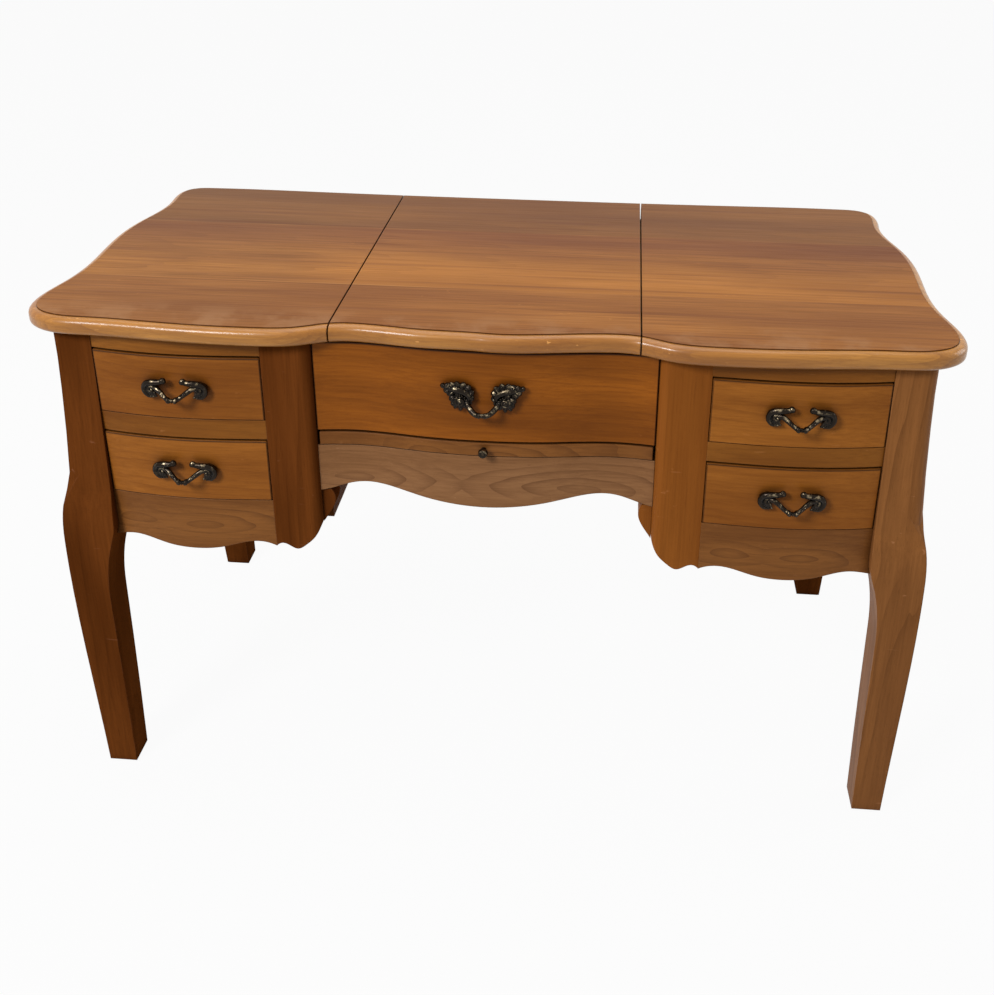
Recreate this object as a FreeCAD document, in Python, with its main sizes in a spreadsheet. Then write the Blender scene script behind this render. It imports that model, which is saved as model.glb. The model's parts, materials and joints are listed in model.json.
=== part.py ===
"""Kneehole dressing table with three lift-up flaps, five drawers and a writing slide.

The table stands on the plane z = 0 with its front towards -Y and its right side towards +X.
"""
import FreeCAD, Part
import os
import re

import Sketcher

from FreeCAD import Vector

# Driving sizes in millimetres
SIZES = {
    # Top
    "top_width": 1200.0,
    "top_depth": 563.0,
    "table_height": 740.0,
    "top_thick": 24.0,
    "edge_width": 11.0,
    "edge_step": 1.4,
    "edge_round": 9.0,
    "edge_round_below": 7.0,
    "seam_offset": 196.0,
    "seam_gap": 2.0,
    "side_overhang": 35.0,
    "front_overhang": 30.0,
    "back_overhang": 25.0,
    "side_waist": 12.0,
    "corner_bulge": 10.0,
    "corner_reach": 84.0,
    # Heights on the front, from the top downwards
    "top_rail_height": 23.0,
    "upper_drawer_height": 93.0,
    "middle_rail_height": 28.0,
    "lower_drawer_height": 94.0,
    "apron_height": 74.0,
    "apron_scallop": 14.0,
    "centre_drawer_height": 131.0,
    "slide_height": 22.0,
    "centre_apron_height": 78.0,
    "centre_scallop": 23.0,
    "bracket_height": 52.0,
    "bracket_width": 18.0,
    "bracket_depth": 24.0,
    # Legs and posts
    "leg_post": 56.0,
    "post_round": 22.0,
    "post_straight": 45.0,
    "post_flare": 8.0,
    "knee_height": 398.0,
    "knee_rise": 82.0,
    "knee_flare": 16.5,
    "calf_height": 298.0,
    "calf_width": 52.0,
    "foot_width": 41.0,
    "foot_flare": 9.5,
    "foot_chamfer": 2.5,
    "rear_taper": 8.0,
    "rear_rake": 23.0,
    "kneehole_width": 442.0,
    "inner_post_width": 65.0,
    "inner_post_depth": 55.0,
    "inner_post_round": 14.0,
    "inner_post_proud": 9.0,
    # Bow of the front, measured out from the front of the posts
    "side_bow": 12.0,
    "post_bow": 6.0,
    "centre_bow": 8.0,
    "centre_dip": 5.0,
    "rail_setback": 1.0,
    # Boards
    "front_thick": 22.0,
    "panel_thick": 20.0,
    "partition_thick": 18.0,
    "panel_scallop": 12.0,
    "pedestal_drop": 62.0,
    "centre_back_drop": 100.0,
    "dust_board_thick": 10.0,
    "guide_height": 28.0,
    "well_depth": 46.0,
    "well_floor_thick": 6.0,
    "well_front_thick": 12.0,
    "divider_thick": 20.0,
    # Drawers and slide
    "front_gap": 1.0,
    "front_top_gap": 3.0,
    "front_ease": 1.2,
    "drawer_gap": 1.5,
    "run_gap": 0.3,
    "drawer_headroom": 8.0,
    "drawer_side": 12.0,
    "drawer_bottom": 6.0,
    "drawer_bottom_lift": 4.0,
    "drawer_back_gap": 38.0,
    "slide_board_thick": 14.0,
    "slide_rail_width": 21.0,
    "slide_rail_height": 16.0,
    "knob_radius": 6.5,
    "knob_reach": 15.0,
    # Pulls
    "pull_reach": 25.0,
    "pull_rise": 6.0,
    "side_pull_width": 88.0,
    "side_pull_drop": 24.0,
    "side_rosette": 12.5,
    "centre_pull_width": 108.0,
    "centre_pull_drop": 28.0,
    "centre_rosette": 8.5,
    "centre_spread": 27.0,
    "leaf_rise": 12.0,
    "bail_radius": 3.2,
    "pull_seat": 5.0,
    "post_radius": 2.5,
    "post_clearance": 0.1,
    "post_cover": 6.0,
    # Hinges
    "hinge_length": 50.0,
    "hinge_spacing": 170.0,
    "leaf_width": 18.0,
    "leaf_thick": 1.5,
    "barrel_radius": 3.0,
    "barrel_gap": 0.4,
    "pin_radius": 1.25,
    "pin_clearance": 0.05,
    "screw_radius": 1.5,
    "screw_head": 3.0,
    "screw_length": 11.0,
    "screw_spacing": 34.0,
    "screw_clearance": 0.15,
    # Mirror
    "mirror_side_room": 23.0,
    "mirror_front_room": 11.0,
    "mirror_back_room": 37.0,
    "mirror_thick": 4.0,
    "mirror_bevel": 2.0,
    "mirror_gap": 0.5,
    "bead_width": 18.0,
    "bead_thick": 8.0,
    "bead_lap": 5.0,
}

# Places worked out from the driving sizes
PLACES = {
    "top_half": "top_width / 2",
    "pull_stand": "max(side_bow + pull_reach - front_overhang; 0)",
    "top_front": "(top_depth - pull_stand) / 2",
    "top_back": "(top_depth + pull_stand) / 2",
    "case_half": "top_half - side_overhang",
    "case_front": "top_front - front_overhang",
    "case_back": "top_back - back_overhang",
    "case_top": "table_height - top_thick",
    "upper_top": "case_top - top_rail_height",
    "upper_base": "upper_top - upper_drawer_height",
    "lower_top": "upper_base - middle_rail_height",
    "lower_base": "lower_top - lower_drawer_height",
    "apron_base": "lower_base - apron_height",
    "centre_base": "case_top - centre_drawer_height",
    "slide_base": "centre_base - slide_height",
    "centre_apron_base": "slide_base - centre_apron_height",
    "kneehole_half": "kneehole_width / 2",
    "opening_near": "kneehole_half + inner_post_width",
    "opening_far": "case_half - leg_post",
    "joint_far": "opening_far + leg_post * 0.4",
    "knee_stop": "knee_height + knee_rise",
    "knee_tip": "knee_height + knee_rise * 0.55",
    "rail_back": "-case_front + front_thick",
    "bow_front": "-case_front - side_bow - centre_bow",
    "post_end": "rail_back - post_cover",
    "leg_back": "-case_front + leg_post",
    "rear_leg_front": "case_back - leg_post",
    "inner_post_back": "-case_front + inner_post_depth",
    "back_face": "case_back - panel_thick",
    "panel_face": "case_half - panel_thick",
    "partition_far": "kneehole_half + partition_thick",
    "pedestal_base": "lower_base - pedestal_drop",
    "centre_back_base": "slide_base - centre_back_drop",
    "well_top": "case_top - well_depth",
    "well_base": "well_top - well_floor_thick",
    "well_front_back": "rail_back + well_front_thick",
    "divider_near": "seam_offset - divider_thick / 2",
    "divider_far": "seam_offset + divider_thick / 2",
    "drawer_end": "back_face - drawer_back_gap",
    "runner_top": "slide_base + slide_board_thick + 2 * front_gap",
    "centre_run": "centre_base + front_gap",
    "side_spread": "side_pull_width / 2 - side_rosette",
    "axis_offset": "barrel_radius + barrel_gap",
    "barrel_room": "barrel_radius + 2 * barrel_gap",
    "side_axis": "case_half + axis_offset",
    "rear_axis": "case_back + axis_offset",
    "bead_reach": "bead_width - bead_lap",
    "mirror_half": "divider_near - mirror_side_room - bead_reach",
    "mirror_front": "well_front_back + mirror_front_room + bead_reach",
    "mirror_back": "back_face - mirror_back_room - bead_reach",
}

LEFT, RIGHT = -1, 1
SIDES = {LEFT: "left", RIGHT: "right"}
WORD = re.compile(r"[a-z_]+")

doc = FreeCAD.newDocument("dressing_table")
sheet = doc.addObject("Spreadsheet::Sheet", "dims")
for row, (alias, value) in enumerate(SIZES.items(), start=1):
    sheet.set(f"A{row}", alias)
    sheet.set(f"B{row}", str(value))
    sheet.setAlias(f"B{row}", alias)
doc.recompute()

pieces = []


def bound(expression):
    """Write an expression of sizes and places in terms of the sheet's cells."""
    def cell(match):
        word = match.group(0)
        if word in PLACES:
            return f"({bound(PLACES[word])})"
        return f"dims.{word}" if word in SIZES else word
    return WORD.sub(cell, expression)


def size(expression):
    """Work out an expression of sizes and places, in millimetres."""
    return float(sheet.evalExpression(bound(expression)))


def across(side, near, far):
    """Span from near to far, counted from the middle plane towards one side."""
    return (near, far) if side == RIGHT else (f"-({far})", f"-({near})")


def board(name, x_span, y_span, z_span):
    """Straight board between three pairs of expressions."""
    box = doc.addObject("Part::Box", name)
    spans = zip(("Length", "Width", "Height"), "xyz", (x_span, y_span, z_span))
    for edge, axis, (low, high) in spans:
        box.setExpression(edge, bound(f"({high}) - ({low})"))
        box.setExpression(f"Placement.Base.{axis}", bound(low))
    return box


def rod(name, radius, length, axis, start):
    """Round rod along X, Y or Z from a start point given as three expressions."""
    turns = {"x": (Vector(0, 1, 0), 90), "y": (Vector(1, 0, 0), -90), "z": (Vector(0, 0, 1), 0)}
    cylinder = doc.addObject("Part::Cylinder", name)
    cylinder.Placement = FreeCAD.Placement(Vector(), FreeCAD.Rotation(*turns[axis]))
    cylinder.setExpression("Radius", bound(radius))
    cylinder.setExpression("Height", bound(length))
    for letter, place in zip("xyz", start):
        cylinder.setExpression(f"Placement.Base.{letter}", bound(place))
    return cylinder


def shaped(name, shape):
    """Piece whose form is drawn with curves."""
    feature = doc.addObject("Part::Feature", name)
    feature.Shape = shape
    return feature


def group(name, members):
    """Several separate solids in one object."""
    compound = doc.addObject("Part::Compound", name)
    compound.Links = members
    return compound


def joined(name, members):
    """Several solids grown into one."""
    fusion = doc.addObject("Part::MultiFuse", name)
    fusion.Shapes = members
    fusion.Refine = True
    return fusion


def cut(name, base, tools):
    """Base with the tools taken away."""
    result = doc.addObject("Part::Cut", name)
    result.Base = base
    result.Tool = tools[0] if len(tools) == 1 else group(f"{name}_tools", tools)
    return result


def meet(name, base, tool):
    """What two solids have in common."""
    result = doc.addObject("Part::Common", name)
    result.Base = base
    result.Tool = tool
    return result


def eased(name, base):
    """Base with every edge softened."""
    doc.recompute()
    radius = size("front_ease")
    result = doc.addObject("Part::Fillet", name)
    result.Base = base
    result.Edges = [(index + 1, radius, radius) for index in range(len(base.Shape.Edges))]
    return result


def keep(name, result):
    """Name a finished piece."""
    result.Label = name
    pieces.append(result)
    return result


def spline(points):
    """Smooth open curve through points."""
    curve = Part.BSplineCurve()
    curve.interpolate(Points=points)
    return curve.toShape()


def polyline(points):
    """Straight edges through points."""
    return [Part.LineSegment(a, b).toShape() for a, b in zip(points, points[1:])]


def prism(edges, direction):
    """Solid drawn along a direction from a closed outline."""
    return Part.Face(Part.Wire(Part.__sortEdges__(edges))).extrude(direction)


def mirrored(shape, side):
    """Shape of the right side, or its mirror image for the left."""
    return shape if side == RIGHT else shape.mirror(Vector(), Vector(1, 0, 0))


# Bowed front, as a slab whose front follows the bow and whose back lies behind the posts
def front_slab(setback):
    """Slab behind the bowed front surface, set back by a distance."""
    kneehole = size("kneehole_half")
    near, far = size("opening_near"), size("opening_far")
    middle = (near + far) / 2
    side_bow, post_bow = size("side_bow"), size("post_bow")
    centre_bow, dip = size("centre_bow"), size("centre_dip")
    half = [
        (kneehole * 0.36, centre_bow * 0.5),
        (kneehole * 0.73, -dip),
        (kneehole, -dip * 0.1),
        ((kneehole + near) / 2, post_bow * 0.8),
        (near, post_bow + (side_bow - post_bow) * 0.2),
        ((near + middle) / 2, post_bow + (side_bow - post_bow) * 0.8),
        (middle, side_bow),
        ((middle + far) / 2, side_bow * 0.7),
        (far, 0.0),
        (size("joint_far"), -side_bow * 0.4),
    ]
    face = -size("case_front") + setback
    bow = [(-x, out) for x, out in reversed(half)] + [(0.0, centre_bow)] + half
    points = [Vector(x, face - out, 0) for x, out in bow]
    back = size("leg_back")
    wide = size("joint_far")
    ends = [points[-1], Vector(wide, back, 0), Vector(-wide, back, 0), points[0]]
    return prism([spline(points)] + polyline(ends), Vector(0, 0, size("case_top")))


drawer_bow = shaped("drawer_bow", front_slab(0.0))
rail_bow = shaped("rail_bow", front_slab(size("rail_setback")))


# Corner legs
def bezier(points):
    """Curve pulled towards its two middle points, in the plane y = 0."""
    curve = Part.BezierCurve()
    curve.setPoles([Vector(x, 0, z) for x, z in points])
    return curve.toShape()


def post_line(post_flare):
    """Outer face of a post from its top down to the stop: straight at first, then leaning outwards."""
    top, stop = size("case_top"), size("knee_stop")
    start = top - size("post_straight")
    leans = ((0.0, 0.0), (0.25, 0.15), (0.58, 0.45), (1.0, 1.0))
    return [(0.0, top)] + [(post_flare * lean, start + (stop - start) * share) for share, lean in leans]


def leg_profile(post_flare, knee_flare, foot_flare):
    """Sawn outline of a leg in the plane y = 0: x runs outwards from the post's outer face."""
    post, top, stop = size("leg_post"), size("case_top"), size("knee_stop")
    knee, calf, chamfer = size("knee_height"), size("calf_height"), size("foot_chamfer")
    rise = stop - knee
    throat = knee + rise * 0.37
    calf_in = knee_flare - size("calf_width")
    foot_in = foot_flare - size("foot_width")
    shin = foot_flare + (knee_flare - foot_flare) * 0.36
    edges = [
        bezier([(post_flare, stop), (post_flare * 1.12, stop - rise * 0.18),
                (knee_flare * 0.97, knee + rise * 0.68), (knee_flare, knee)]),
        bezier([(knee_flare, knee), (knee_flare * 1.12, knee * 0.7), (shin, knee * 0.35), (foot_flare, chamfer)]),
        bezier([(-post, throat), (-post, throat - rise * 0.3), (calf_in * 1.014, calf + knee * 0.225),
                (calf_in, calf)]),
        bezier([(calf_in, calf), (calf_in * 0.8 + foot_in * 0.2, calf * 0.66),
                (calf_in * 0.5 + foot_in * 0.5, calf * 0.35), (foot_in, chamfer)]),
    ]
    tread = [(foot_flare, chamfer), (foot_flare - chamfer, 0), (foot_in + chamfer, 0), (foot_in, chamfer)]
    post_top = [(-post, throat), (-post, top)] + post_line(post_flare)
    for corners in (tread, post_top):
        edges += polyline([Vector(x, 0, z) for x, z in corners])
    return edges


def corner_region(place, level):
    """Flat region outside the rounded corner of a post whose outer faces meet at a place."""
    radius, far = size("post_round"), size("post_round + leg_post")
    middle = Vector(-radius, -radius, 0)
    turn = Part.Arc(Vector(0, -radius, 0), middle + Vector(1, 1, 0).normalize() * radius, Vector(-radius, 0, 0))
    sides = polyline([Vector(-radius, 0, 0), Vector(-radius, far, 0), Vector(far, far, 0),
                      Vector(far, -radius, 0), Vector(0, -radius, 0)])
    region = Part.Face(Part.Wire(Part.__sortEdges__([turn.toShape()] + sides)))
    region.translate(Vector(place, place, level))
    return region


def corner_round(post_flare, knee_flare):
    """What is carved off a post's outer corner: rounds that lean with it, down to a slanted stop."""
    radius, post, top = size("post_round"), size("leg_post"), size("case_top")
    stop, tip = size("knee_stop"), size("knee_tip")
    begin = post_flare * 0.5
    deep = -radius * 0.5
    rise = (stop - tip) * (begin - deep) / (knee_flare - begin)
    run = [(deep, stop + rise), (knee_flare, tip), (post, tip), (post, top), (deep, top)]
    points = [Vector(out, out, level) for out, level in run]
    sideways = Vector(1, -1, 0) * 2 * post
    block = prism(polyline(points + points[:1]), sideways)
    block.translate(-sideways * 0.5)
    line = post_line(post_flare)
    (last_out, last_level), (end_out, end_level) = line[-2:]
    lean = (end_out - last_out) / (last_level - end_level)
    line[-1] = (end_out + lean * (end_level - tip), tip)
    carved = []
    for (out, level), (next_out, next_level) in zip(line, line[1:]):
        shift = next_out - out
        carved.append(corner_region(out, level).extrude(Vector(shift, shift, next_level - level)).common(block))
    return carved


def sawn_blank(post_flare, knee_flare, foot_flare):
    """Long blank sawn to one outline of a leg."""
    reach = size("leg_post + knee_flare") * 2
    blank = prism(leg_profile(post_flare, knee_flare, foot_flare), Vector(0, 2 * reach, 0))
    blank.translate(Vector(0, -reach, 0))
    return blank


def leg_shape(side, end):
    """Post, knee, tapering leg and small foot, sawn to one outline from the front and one from the side."""
    if end < 0:
        flares = size("post_flare"), size("knee_flare"), size("foot_flare")
        sawn, turned = sawn_blank(*flares), sawn_blank(*flares)
        carved = corner_round(*flares[:2])
    else:
        rake = size("rear_rake")
        sawn = sawn_blank(0.0, 0.0, -size("rear_taper"))
        turned = sawn_blank(0.0, rake * 0.2, rake)
        carved = corner_round(0.0, rake * 0.2)
    leg = sawn.common(turned.mirror(Vector(), Vector(1, -1, 0))).cut(carved).removeSplitter()
    leg = leg if end > 0 else leg.mirror(Vector(), Vector(0, 1, 0))
    leg.translate(Vector(size("case_half"), end * size("case_front" if end < 0 else "case_back"), 0))
    return mirrored(leg, side)


front_legs, back_legs = {}, {}
for side, side_name in SIDES.items():
    front_legs[side] = shaped(f"leg_front_{side_name}", leg_shape(side, -1))
    back_legs[side] = shaped(f"leg_back_{side_name}", leg_shape(side, 1))
    keep(f"leg_front_{side_name}", front_legs[side])
    keep(f"leg_back_{side_name}", back_legs[side])


# Inner posts, rails, aprons and brackets of the front
def scalloped(x_low, x_high, waves, base, top):
    """Upright face outline whose lower edge runs through a list of (share, rise) points."""
    points = [Vector(x_low + (x_high - x_low) * share, 0, base + rise) for share, rise in waves]
    sides = [points[-1], Vector(x_high, 0, top), Vector(x_low, 0, top), points[0]]
    return [spline(points)] + polyline(sides)


def bowed(outline):
    """Upright outline drawn from in front of the bow back to the rails' back plane."""
    front = size("bow_front")
    solid = prism(outline, Vector(0, size("rail_back") - front, 0))
    solid.translate(Vector(0, front, 0))
    return solid.common(rail_bow.Shape)


def inner_post_shape():
    """Right inner post: rounded kneehole corner and shaped lower end."""
    near, far = size("kneehole_half"), size("opening_near")
    base, top = size("apron_base"), size("case_top")
    front, back = size("bow_front"), size("inner_post_back")
    lower, face, proud = size("apron_scallop"), -size("case_front"), size("inner_post_proud")
    waves = [(0.0, 3.2 * lower), (0.12, 1.7 * lower), (0.36, 0.5 * lower)]
    waves += [(0.55, 0.0), (0.78, 0.45 * lower), (1.0, 0.1 * lower)]
    flush = size("post_bow + (side_bow - post_bow) * 0.2 - rail_setback")
    bow = [(near, proud), ((near + far) / 2, proud * 0.97), (far, flush)]
    bow = [Vector(x, face - out, 0) for x, out in bow]
    ends = [bow[-1], Vector(far, back, 0), Vector(near, back, 0), bow[0]]
    blank = prism([spline(bow)] + polyline(ends), Vector(0, 0, top))
    edges = [edge for edge in blank.Edges if edge.BoundBox.XMax < near + 0.01]
    corner = min(edges, key=lambda edge: edge.BoundBox.YMax)
    blank = blank.makeFillet(size("inner_post_round"), [corner])
    profile = prism(scalloped(near, far, waves, base, top), Vector(0, back - front, 0))
    profile.translate(Vector(0, front, 0))
    return blank.common(profile)


def side_apron_shape():
    """Right apron under the lower drawer, fitted to the leg beside it."""
    wave = size("apron_scallop")
    waves = [(0.0, 0.1 * wave), (0.14, 0.57 * wave), (0.3, -0.14 * wave), (0.46, -0.43 * wave)]
    waves += [(0.62, -0.14 * wave), (0.8, 0.57 * wave), (0.92, 0.2 * wave), (1.0, -0.2 * wave)]
    near, far = size("opening_near"), size("joint_far")
    apron = bowed(scalloped(near, far, waves, size("apron_base"), size("lower_base")))
    return apron.cut(front_legs[RIGHT].Shape)


def centre_apron_shape():
    """Apron over the kneehole, lowest in the middle."""
    wave, half = size("centre_scallop"), size("kneehole_half")
    rises = [(0.0, 0.0), (0.21, 0.13), (0.39, 0.43), (0.54, 0.78), (0.69, 1.0), (0.8, 0.9)]
    rises += [(0.93, 0.52), (1.0, 0.39)]
    right = [(0.5 + share / 2, rise * wave) for share, rise in rises]
    left = [(0.5 - share / 2, rise * wave) for share, rise in reversed(rises[1:])]
    return bowed(scalloped(-half, half, left + right, size("centre_apron_base"), size("slide_base")))


def bracket_shape():
    """Right bracket: a carved ear between the centre apron's end and the inner post."""
    far, wide, tall = size("kneehole_half"), size("bracket_width"), size("bracket_height")
    top = size("centre_apron_base + centre_scallop * 0.39")
    depth = size("bracket_depth")
    curve = [
        Vector(far - 0.72 * wide, 0, top),
        Vector(far - wide, 0, top - 0.3 * tall),
        Vector(far - 0.62 * wide, 0, top - 0.66 * tall),
        Vector(far, 0, top - tall),
    ]
    ends = [curve[-1], Vector(far, 0, top), curve[0]]
    solid = prism([spline(curve)] + polyline(ends), Vector(0, depth, 0))
    solid.translate(Vector(0, size("rail_back") - 0.72 * depth, 0))
    return solid.cut(centre_apron.Shape)


centre_apron = keep("apron_centre", shaped("apron_centre", centre_apron_shape()))
for side, side_name in SIDES.items():
    post = shaped(f"inner_post_{side_name}", mirrored(inner_post_shape(), side))
    keep(f"inner_post_{side_name}", post)
    apron = shaped(f"apron_{side_name}", mirrored(side_apron_shape(), side))
    keep(f"apron_{side_name}", apron)
    bracket = shaped(f"bracket_{side_name}", mirrored(bracket_shape(), side))
    keep(f"bracket_{side_name}", bracket)
    opening = across(side, "opening_near", "opening_far")
    rail_depth = ("bow_front", "rail_back")
    for level, low, high in (("top", "upper_top", "case_top"), ("middle", "lower_top", "upper_base")):
        blank = board(f"{level}_rail_{side_name}_blank", opening, rail_depth, (low, high))
        keep(f"{level}_rail_{side_name}", meet(f"{level}_rail_{side_name}", blank, rail_bow))


# Side panels, back boards and partitions
def side_panel_shape():
    """Right side panel, scalloped below and fitted to the corner legs."""
    start, end = size("leg_back - leg_post * 0.4"), size("rear_leg_front + leg_post * 0.4")
    base, top, wave = size("pedestal_base"), size("case_top"), size("panel_scallop")
    thick = size("panel_thick")
    shares = [(0.0, 0.0), (0.12, wave * 0.7), (0.3, 0.0), (0.5, -wave * 0.3)]
    shares += [(0.7, 0.0), (0.88, wave * 0.7), (1.0, 0.0)]
    inner = size("panel_face")
    points = [Vector(inner, start + (end - start) * share, base + rise) for share, rise in shares]
    ends = [points[-1], Vector(inner, end, top), Vector(inner, start, top), points[0]]
    panel = prism([spline(points)] + polyline(ends), Vector(thick, 0, 0))
    return panel.cut([front_legs[RIGHT].Shape, back_legs[RIGHT].Shape])


def leaf_mortises(name, flaps):
    """Recesses for the fixed hinge leaves of a list of flaps."""
    recesses = []
    for flap, number, middle in hinge_places():
        if flap in flaps:
            recesses.append(leaf_plate(f"{name}_mortise_{flap}_{number}", flap, middle, -1))
    return recesses


def hinge_places():
    """Each hinge as its flap, its number and the middle of its length."""
    half = "hinge_spacing / 2"
    for flap in ("left", "centre", "right"):
        for number, middle in enumerate((f"-({half})", half), start=1):
            yield flap, number, middle


def hinge_spans(flap, near, far, low, high):
    """Spans of a block beside a hinge: near and far count outwards from the case face."""
    if flap == "centre":
        return (low, high), (f"case_back + ({near})", f"case_back + ({far})")
    side = LEFT if flap == "left" else RIGHT
    return across(side, f"case_half + ({near})", f"case_half + ({far})"), (low, high)


def hinge_length_span(middle):
    """Span along a hinge's whole length."""
    return f"{middle} - hinge_length / 2", f"{middle} + hinge_length / 2"


def leaf_plate(name, flap, middle, layer):
    """Flat plate of one hinge leaf: layer -1 lies on the case, layer 1 under the flap."""
    spans = hinge_spans(flap, "-leaf_width", "0", *hinge_length_span(middle))
    levels = ("case_top - leaf_thick", "case_top") if layer < 0 else ("case_top", "case_top + leaf_thick")
    return board(name, *spans, levels)


for side, side_name in SIDES.items():
    blank = shaped(f"side_panel_{side_name}_blank", mirrored(side_panel_shape(), side))
    mortises = leaf_mortises(f"side_panel_{side_name}", [side_name])
    keep(f"side_panel_{side_name}", cut(f"side_panel_{side_name}", blank, mortises))
    thickness = across(side, "kneehole_half", "partition_far")
    partition_run = ("inner_post_back", "back_face")
    partition = board(f"partition_{side_name}", thickness, partition_run, ("pedestal_base", "well_base"))
    keep(f"partition_{side_name}", partition)

back_run = ("back_face", "case_back")
back_blank = board("back_centre_blank", ("-partition_far", "partition_far"), back_run,
                   ("centre_back_base", "case_top"))
back_boards = [cut("back_centre", back_blank, leaf_mortises("back_centre", ["centre"]))]
for side, side_name in SIDES.items():
    width = across(side, "partition_far", "joint_far")
    blank = board(f"back_{side_name}_blank", width, back_run, ("pedestal_base", "case_top"))
    back_boards.append(cut(f"back_{side_name}", blank, [back_legs[side]]))
keep("back_boards", group("back_boards", back_boards))

# Dust boards, guides and runners that carry the drawers and the slide
guides = []
runners = []
for side, side_name in SIDES.items():
    dust_boards = []
    for level, floor in (("upper", "upper_base"), ("lower", "lower_base")):
        where = f"{level}_{side_name}"
        low = f"{floor} - dust_board_thick"
        floor_span = (low, floor)
        guide_span = (low, f"{low} + guide_height")
        dust_run = ("rail_back", "back_face")
        dust_boards.append(board(f"dust_{where}", across(side, "opening_near", "opening_far"),
                                 dust_run, floor_span))
        guides.append(board(f"guide_inner_{where}", across(side, "partition_far", "opening_near"),
                            ("inner_post_back", "back_face"), guide_span))
        guides.append(board(f"guide_outer_{where}", across(side, "opening_far", "panel_face"),
                            ("leg_back", "rear_leg_front"), guide_span))
    keep(f"dust_boards_{side_name}", group(f"dust_boards_{side_name}", dust_boards))
    rail_width = across(side, "kneehole_half - slide_rail_width", "kneehole_half")
    slide_levels = ("slide_base + front_gap - slide_rail_height", "slide_base + front_gap")
    drawer_levels = ("runner_top", "centre_run")
    runners.append(board(f"slide_rail_{side_name}", rail_width, ("rail_back", "back_face"), slide_levels))
    runners.append(board(f"drawer_rail_{side_name}", rail_width, ("rail_back", "back_face"), drawer_levels))
keep("drawer_guides", group("drawer_guides", guides))
keep("centre_runners", group("centre_runners", runners))

# Wells under the flaps
floor_span = ("well_base", "well_top")
front_span = ("well_base", "case_top")
front_run = ("rail_back", "well_front_back")
well_run = ("well_front_back", "back_face")
floors = [board("well_floor_centre", ("-divider_near", "divider_near"), well_run, floor_span)]
fronts = [board("well_front_centre", ("-kneehole_half", "kneehole_half"), front_run, front_span)]
dividers = []
for side, side_name in SIDES.items():
    blank = board(f"well_floor_{side_name}_blank", across(side, "divider_far", "panel_face"),
                  well_run, floor_span)
    notches = [
        board(f"notch_front_{side_name}", across(side, "opening_far", "case_half"),
              ("-case_front", "leg_back"), floor_span),
        board(f"notch_back_{side_name}", across(side, "opening_far", "case_half"),
              ("rear_leg_front", "case_back"), floor_span),
        board(f"notch_inner_{side_name}", across(side, "kneehole_half", "opening_near"),
              ("bow_front", "inner_post_back"), floor_span),
    ]
    floors.append(cut(f"well_floor_{side_name}", blank, notches))
    fronts.append(board(f"well_front_{side_name}", across(side, "opening_near", "opening_far"),
                        front_run, front_span))
    dividers.append(board(f"divider_{side_name}", across(side, "divider_near", "divider_far"),
                          well_run, front_span))
keep("well_floors", group("well_floors", floors))
keep("well_fronts", group("well_fronts", fronts))
keep("well_dividers", group("well_dividers", dividers))


# Top: one outline, split into three flaps
def top_outline(inset):
    """Closed outline of the top, drawn in by an inset all round."""
    half, front, back = size("top_half"), size("top_front"), size("top_back")
    seam, waist, bulge = size("seam_offset"), size("side_waist"), size("corner_bulge")
    reach = size("corner_reach")
    wide = half - seam
    edge = [
        (0.0, -front + 1.2 * bulge),
        (seam * 0.41, -front + 1.6 * bulge),
        (seam * 0.77, -front + 2.5 * bulge),
        (seam, -front + 2.2 * bulge),
        (seam + wide * 0.075, -front + 0.9 * bulge),
        (seam + wide * 0.23, -front),
        (seam + wide * 0.5, -front + 0.3 * bulge),
        (seam + wide * 0.75, -front + 1.1 * bulge),
        (half - 0.41 * reach, -front + 2.05 * bulge),
        (half - 0.1 * reach, -front + 0.5 * reach),
        (half, -front + reach),
    ]
    start, end = -front + reach, back - reach
    waists = ((0.14, 0.8), (0.28, 1.25), (0.44, 1.0), (0.6, 0.8), (0.74, 1.25), (0.9, 2.35), (1.0, 2.5))
    for share, drawn in waists:
        edge.append((half - waist * drawn, start + (end - start) * share))
    edge += [
        (half - waist * 2.3, back - 0.45 * reach),
        (half - waist * 2.8, back - 0.23 * reach),
        (half - 0.6 * reach, back - 0.07 * reach),
        (half - 0.95 * reach, back - 0.1 * bulge),
        (half - 1.5 * reach, back),
        (half * 0.6, back - 0.2 * bulge),
        (half * 0.3, back - 0.55 * bulge),
        (0.0, back - 0.6 * bulge),
    ]
    points = [Vector(x, y, 0) for x, y in edge]
    points += [Vector(-x, y, 0) for x, y in reversed(edge[1:-1])]
    curve = Part.BSplineCurve()
    curve.interpolate(Points=points, PeriodicFlag=True)
    if inset > 0:
        tangents = [curve.tangent(curve.parameter(point))[0] for point in points]
        points = [p + Vector(-run.y, run.x, 0) * inset for p, run in zip(points, tangents)]
        curve = Part.BSplineCurve()
        curve.interpolate(Points=points, PeriodicFlag=True)
    inner_stops = [curve.parameter(point) for point in points[5::5]]
    stops = [curve.FirstParameter] + inner_stops + [curve.LastParameter]
    runs = []
    for first, last in zip(stops, stops[1:]):
        run = curve.copy()
        run.segment(first, last)
        runs.append(run.toShape())
    return runs


def level_edges(solid, height):
    """Edges of a solid that lie flat at a height."""
    boxes = [(edge, edge.BoundBox) for edge in solid.Edges]
    return [edge for edge, box in boxes if max(abs(box.ZMin - height), abs(box.ZMax - height)) < 1e-4]


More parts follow.
